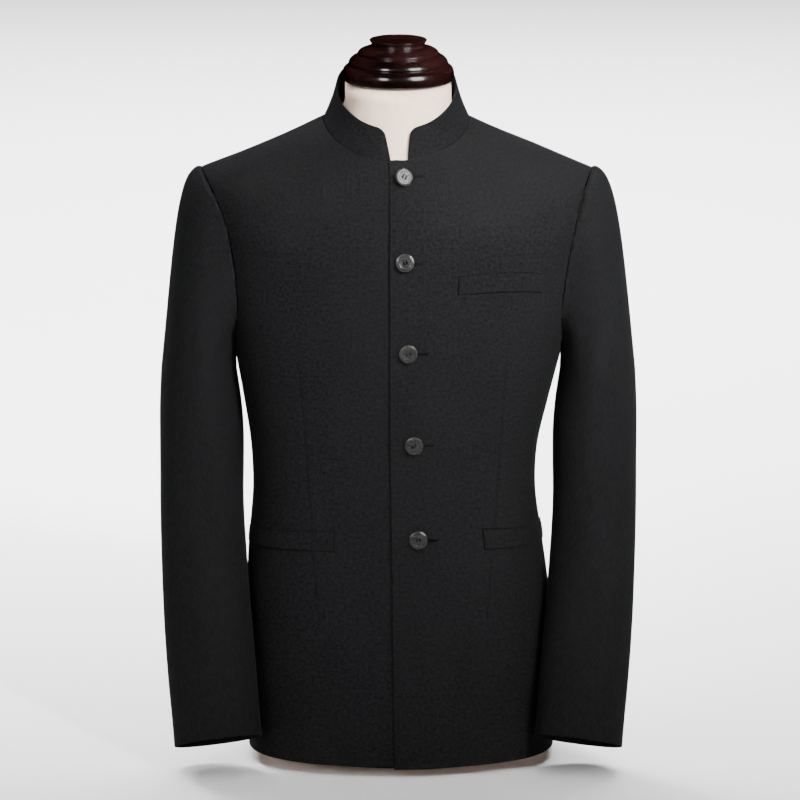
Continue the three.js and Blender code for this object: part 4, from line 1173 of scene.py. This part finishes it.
def button_local(radius, turn, stem):
    """A button as a closed grid of rings from the middle of its face out over the rim and back under to the
    middle. A stem of the given length reaches down from its shank to the cloth.

    Its face is dished by 0.3 mm inside a rim that rounds off outwards by 0.75 mm * share^2, with four holes:
    at distance d from a hole's middle the face drops by 2.2 mm * (1 - smooth step of d from 0.95 to 1.2 mm).
    The face keeps the lathe's rings: height + 0.035 mm * sin(full turn * r / 1.15 mm)."""
    face_r = np.concatenate([np.linspace(0, 0.46, 38), np.linspace(0.48, 0.56, 6)]) * radius
    face_h = BUTTON_HIGH + 0.035 * np.sin(TURN * face_r / 1.15)
    rim = np.linspace(0, 1, 26)
    rise = RIM_HIGH * np.sin(QUARTER * np.minimum(rim * 3.2, 1))
    rim_h = BUTTON_HIGH + rise - 0.75 * np.maximum(rim - 0.3, 0) ** 2 / 0.49
    edge = np.linspace(0, 1, 12)[1:]
    edge_r = radius * (0.985 + 0.015 * np.sin(math.pi * edge)) - 1.2 * edge**2
    under_r = np.array([0.8, 0.6, 0.36, 0.3, 0.3, 0.12, 0]) * radius
    under_h = [1.05, 1.0, 1.0, 0.9, -stem, -stem, -stem]
    r = np.concatenate([face_r, mix(0.57, 0.985, rim) * radius, edge_r, under_r])
    h = np.concatenate([face_h, rim_h, mix(rim_h[-1], 1.3, edge), under_h])
    around = np.linspace(0, TURN, 120, endpoint=False)
    x, y = r[:, None] * np.cos(around), r[:, None] * np.sin(around)
    z = np.broadcast_to(h[:, None], x.shape).copy()
    on_face = (np.arange(len(r)) < len(face_r))[:, None]
    for left, up in ((1, 1), (1, -1), (-1, 1), (-1, -1)):
        away = np.hypot(x - HOLE_PLACE * left, y - HOLE_PLACE * up)
        z -= 2.2 * (1 - smooth_step(0.95, 1.2, away)) * on_face
    return turned_by(turn, x, y, z)


def tube(path, radius, sides=10):
    """A closed round tube along a path: at each point a circle across the path's direction; both ends shrink
    to their middle."""
    ahead = unit(np.gradient(path, axis=0))
    across = unit(np.cross(ahead, [0.13, 0.21, 1.0]))
    other = np.cross(ahead, across)
    turn = np.linspace(0, TURN, sides, endpoint=False)
    wide = np.full(len(path), 1.0) * radius
    wide[0] = wide[-1] = 0
    ring = np.cos(turn)[None, :, None] * across[:, None] + np.sin(turn)[None, :, None] * other[:, None]
    return path[:, None] + ring * wide[:, None, None]


class MakeButtons(TunicOperator):
    """Turns five four-hole buttons with a raised rim and sews each on with two bars of thread, whose strands
    arch from hole to hole at a height of 2.4 mm + 1.65 mm * sin(pi * t)^0.35."""

    bl_idname = "tunic.make_buttons"
    bl_label = "Buttons"

    def execute(self, context):
        radius = context.scene.tunic_sizes.button_radius / MM
        t = np.linspace(0, 1, 24)
        along = mix(-HOLE_PLACE, HOLE_PLACE, t)
        arched = 2.4 + 1.65 * np.sin(math.pi * t) ** 0.35
        for i, ((x, z), turn, lean, stem) in enumerate(
            zip(BUTTON_PLACES, BUTTON_TURNS, BUTTON_LEANS, BUTTON_STEMS), 1
        ):
            place = tilted(seat(x, z - 0.9 * stem, 0.3 + stem), *lean)
            grid = placed(button_local(radius, turn, stem), place)
            add_piece(f"sewn_button_{i}", *joined([grid]), materials()["button"], "button", (f"button_{i}",))
            bars = []
            for column in (-1, 1):
                for strand in (-0.5, 0, 0.5):
                    aside = np.full_like(t, HOLE_PLACE * column + strand)
                    bars.append(placed(tube(turned_by(turn, aside, along, arched), 0.28), place))
            add_piece(f"button_thread_{i}", *joined(bars), materials()["thread"], "suiting")
        return {"FINISHED"}


class MakeButtonholes(TunicOperator):
    """Stitches five keyhole buttonholes in the upper front, each from behind its button out to its eyelet: a
    ring of thread along x = half length * cos, y = sin^0.35 * a width that grows from 0.75 to 1.15 mm."""

    bl_idname = "tunic.make_buttonholes"
    bl_label = "Buttonholes"

    def execute(self, context):
        length = context.scene.tunic_sizes.buttonhole_length / MM
        turn = TURN * np.linspace(0, 1, 220)
        eyelet = smooth_step(0.72, 0.98, np.cos(turn))
        left = length / 2 * np.cos(turn)
        up = np.sign(np.sin(turn)) * np.abs(np.sin(turn)) ** 0.35 * mix(0.75, 1.15, eyelet)
        path = np.stack([left, up, 0.12 + 0 * left], -1)
        ring = tube(path, 0.5, 8)
        ring[0], ring[-1] = ring[1], ring[1]
        stitches = 1 + 0.12 * np.sin(turn * 60)
        ring = (path[:, None] + (ring - path[:, None]) * stitches[:, None, None])[:-1]
        rows, columns = ring.shape[:2]
        near, far = (rows - 1) * columns + np.arange(columns), np.arange(columns)
        closing = np.stack([near, np.roll(near, -1), np.roll(far, -1), far], -1)
        faces = np.concatenate([grid_faces(rows, columns, True), closing])
        for i, (x, z) in enumerate(BUTTON_PLACES, 1):
            points = placed(ring, seat(x + length / 2 - 2, z - 0.8, 0)).reshape(-1, 3)
            add_piece(f"buttonhole_{i}", points, faces, materials()["thread"], "suiting")
        return {"FINISHED"}


def form_grid():
    """The form from the middle of its floor up its sides and over the shoulders, then up its neck to its lid.

    Columns are even in x at the shoulders, so that the front's and the back's meet on the ridge. The neck
    goes in from the opening to a circle by sin(quarter turn * share) while it rises evenly."""
    neck = FORM["neck"]
    neck_x = neck["half"] * np.sin(np.linspace(0, QUARTER, 25)[:-1])
    ridge_x = mix(neck["half"], FORM_SHOULDER, 1 - (1 - np.linspace(0, 1, 33)[:-1]) ** 1.6)
    x = np.concatenate([neck_x, ridge_x])
    front, back = (angle_across(x / FORM_SHOULDER, is_front) for is_front in (True, False))
    half = np.concatenate([front, [QUARTER], back[::-1]])
    theta = np.concatenate([half, -half[1:-1][::-1]])
    v = np.concatenate([np.linspace(0, ARCH_START, 60)[:-1], np.linspace(ARCH_START, 1, 48)])
    grid = body_point(FORM, np.broadcast_to(theta, (len(v), len(theta))), v[:, None] + 0 * theta)
    count, middle, opening = len(theta), len(theta) // 2, len(neck_x)
    top = grid[-1]
    on_ridge = np.arange(opening, len(x))
    top[middle - on_ridge] = top[on_ridge]
    top[middle + on_ridge] = top[count - on_ridge]
    floor = grid[:1] * [0.5, 0.5, 1]
    centre = grid[:1] * [0, 0, 1]
    spans = ((0, opening + 1), (middle - opening + 1, middle + opening), (count - opening, count))
    ring = top[np.concatenate([np.arange(*span) for span in spans])]
    away = np.arctan2(ring[:, 0], neck["y"] - ring[:, 1])
    share = np.linspace(0, 1, 30)[:, None]
    inward = np.sin(QUARTER * share)
    neck_wall = [
        mix(ring[:, 0], NECK_RADIUS * np.sin(away), inward),
        mix(ring[:, 1], -NECK_RADIUS * np.cos(away), inward),
        mix(ring[:, 2], NECK_FOOT, share),
    ]
    tall = np.stack(neck_wall, -1)
    lid_height = np.full((len(ring), 1), NECK_TOP)
    lid = np.stack([np.append(tall[-1][:, :2] * part, lid_height, 1) for part in (1, 0.5, 0)])
    return np.concatenate([centre, floor, grid]), np.concatenate([tall, lid])


class MakeForm(TunicOperator):
    """Shapes the dress form's covered torso and neck in one closed piece."""

    bl_idname = "tunic.make_form"
    bl_label = "Dress form"

    def execute(self, context):
        parts = form_grid()
        torso, neck = (grid_faces(*part.shape[:2], closed=True) for part in parts)
        points = np.concatenate([part.reshape(-1, 3) for part in parts])
        faces = np.concatenate([torso, neck + parts[0][..., 0].size])
        cut = np.concatenate([cut_of(part) for part in parts])
        add_piece("form_cover", points, faces, materials()["linen"], "form_cover", ("form_torso",), cut)
        return {"FINISHED"}


class MakeCap(TunicOperator):
    """Turns the wooden neck cap and the low foot from their profiles."""

    bl_idname = "tunic.make_cap"
    bl_label = "Neck cap and foot"

    def execute(self, context):
        r, z = CAP_PROFILE["r"], CAP_PROFILE["z"]
        run = np.insert(np.cumsum(np.hypot(np.diff(r), np.diff(z))), 0, 0)
        fine = np.unique(np.concatenate([run, np.linspace(0, run[-1], 260)]))
        turn = np.linspace(0, TURN, 144, endpoint=False)
        radius = np.maximum(smooth_curve(run, r, fine), 0)[:, None]
        height = np.maximum(smooth_curve(run, z, fine), z[0])[:, None]
        grid = np.stack(np.broadcast_arrays(radius * np.cos(turn), radius * np.sin(turn), height), -1)
        grid[0, :, :2] = grid[-1, :, :2] = 0
        wood = materials()["wood"]
        add_piece("turned_neck_cap", *joined([grid]), wood, "turned_wood", ("neck_cap",))
        share, rise = FOOT_PROFILE["share"][:, None], FOOT_PROFILE["z"][:, None]
        x, y = FOOT_HALF_X * share * np.cos(turn), FOOT_Y + FOOT_HALF_Y * share * np.sin(turn)
        foot = np.stack(np.broadcast_arrays(x, y, rise), -1)
        add_piece("form_foot", *joined([foot]), wood, "turned_wood", ("form_base",))
        return {"FINISHED"}


WARM, COOL, WHITE = (1, 0.99, 0.98), (0.97, 0.98, 1), (1, 1, 1)


def add_light(name, place, aim, size, power, colour, spread=180, mirrored=True, lighting=True):
    """A square softbox at a place, turned to shine at a point. A grid on it keeps its light within a spread,
    in degrees. Gloss shows it where it is mirrored, and matt surfaces where it is lighting."""
    light = bpy.data.lights.new(name, "AREA")
    light.shape = "SQUARE"
    light.size = size
    light.energy = power
    light.color = colour
    light.spread = spread * DEGREE
    lamp = bpy.data.objects.new(name, light)
    lamp.visible_glossy = mirrored
    lamp.visible_diffuse = lighting
    lamp.location = place
    lamp.rotation_euler = aimed(place, aim)
    bpy.context.scene.collection.objects.link(lamp)


def aimed(place, aim):
    """Rotation that points an object's -Z from a place to an aim: its slope from the vertical, then its
    heading."""
    x, y, z = (b - a for a, b in zip(place, aim))
    return (math.atan2(math.hypot(x, y), -z), 0, math.atan2(-x, y))


class SetStage(TunicOperator):
    """Lays the pale floor, hangs the studio lights and sets the camera at the photograph's angle."""

    bl_idname = "tunic.set_stage"
    bl_label = "Stage, lights and camera"

    def execute(self, context):
        scene = context.scene
        sizes = scene.tunic_sizes
        mesh = bpy.data.meshes.new("pale_floor")
        reach = 14
        corners = [(-reach, -reach, 0), (reach, -reach, 0), (reach, reach, 0), (-reach, reach, 0)]
        mesh.from_pydata(corners, [], [(0, 1, 2, 3)])
        mesh.materials.append(materials()["floor"])
        floor = bpy.data.objects.new("pale_floor", mesh)
        scene.collection.objects.link(floor)
        floor.visible_glossy = False
        add_light("key_softbox", (1.7, -3.1, 2.7), (0.18, -0.1, 0.70), 0.5, 5.4, WARM, 16, False)
        add_light("near_softbox", (0.9, -1.3, 1.75), (0.1, -0.1, 0.6), 0.7, 2.8, WARM, 80, False)
        add_light("gloss_softbox", (1.36, -1.56, 1.5), (0, 0, 0.72), 1.0, 42, WARM, 180, True, False)
        add_light("fill_softbox", (-1.9, -3.2, 1.9), (0, 0, 0.6), 1.1, 5, COOL, 60)
        add_light("back_softbox", (0.0, 3.2, 3.2), (0, 2.6, 0), 4.0, 300, WHITE, 70, False)
        add_light("rear_softbox", (-2.0, 3.3, 2.6), (0, 0.1, 0.45), 1.2, 24, WHITE, 60, False)
        add_light("top_softbox", (0.0, -1.6, 4.6), (0, -1.6, 0), 4.0, 100, WHITE, 180, False)
        world = bpy.data.worlds.new("white_studio")
        world.use_nodes = True
        background = world.node_tree.nodes["Background"]
        background.inputs["Color"].default_value = (1, 1, 1, 1)
        background.inputs["Strength"].default_value = 0.15
        world.cycles_visibility.glossy = False
        scene.world = world
        away, rise = sizes.camera_distance, sizes.camera_height
        aim = (0.0019, 0.003, 0.3962)
        place = (aim[0], aim[1] - away * math.cos(rise), aim[2] + away * math.sin(rise))
        lens = bpy.data.cameras.new("photo_camera")
        lens.sensor_width = 36
        lens.lens = 351
        lens.clip_end = 60
        camera = bpy.data.objects.new("photo_camera", lens)
        camera.location = place
        camera.rotation_euler = aimed(place, aim)
        scene.collection.objects.link(camera)
        scene.camera = camera
        return {"FINISHED"}


class TunicPanel(bpy.types.Panel):
    """Lists the pieces and the values behind them."""

    bl_idname = "VIEW3D_PT_tunic"
    bl_label = "Tunic jacket"
    bl_space_type = "VIEW_3D"
    bl_region_type = "UI"
    bl_category = "Tunic"

    def draw(self, context):
        for group in (context.scene.tunic_sizes, context.scene.tunic_colours):
            box = self.layout.box()
            for name in group.__annotations__:
                box.prop(group, name)
        for operator in OPERATORS:
            self.layout.operator(operator.bl_idname)


OPERATORS = (
    SetStage,
    MakeForm,
    MakeCap,
    MakeBacks,
    MakeSides,
    MakeFronts,
    MakeSleeves,
    MakeCollar,
    MakeWelts,
    MakeButtons,
    MakeButtonholes,
)
CLASSES = (TunicSizes, TunicColours, *OPERATORS, TunicPanel)


def register():
    """Registers the classes and puts the two groups of values on the scene."""
    for item in CLASSES:
        bpy.utils.register_class(item)
    bpy.types.Scene.tunic_sizes = bpy.props.PointerProperty(type=TunicSizes)
    bpy.types.Scene.tunic_colours = bpy.props.PointerProperty(type=TunicColours)


def unregister():
    """Takes them away again."""
    del bpy.types.Scene.tunic_colours
    del bpy.types.Scene.tunic_sizes
    for item in reversed(CLASSES):
        bpy.utils.unregister_class(item)


def main():
    """Makes every piece in order."""
    register()
    bpy.ops.tunic.set_stage()
    bpy.ops.tunic.make_form()
    bpy.ops.tunic.make_cap()
    bpy.ops.tunic.make_backs()
    bpy.ops.tunic.make_sides()
    bpy.ops.tunic.make_fronts()
    bpy.ops.tunic.make_sleeves()
    bpy.ops.tunic.make_collar()
    bpy.ops.tunic.make_welts()
    bpy.ops.tunic.make_buttons()
    bpy.ops.tunic.make_buttonholes()


if __name__ == "__main__":
    main()
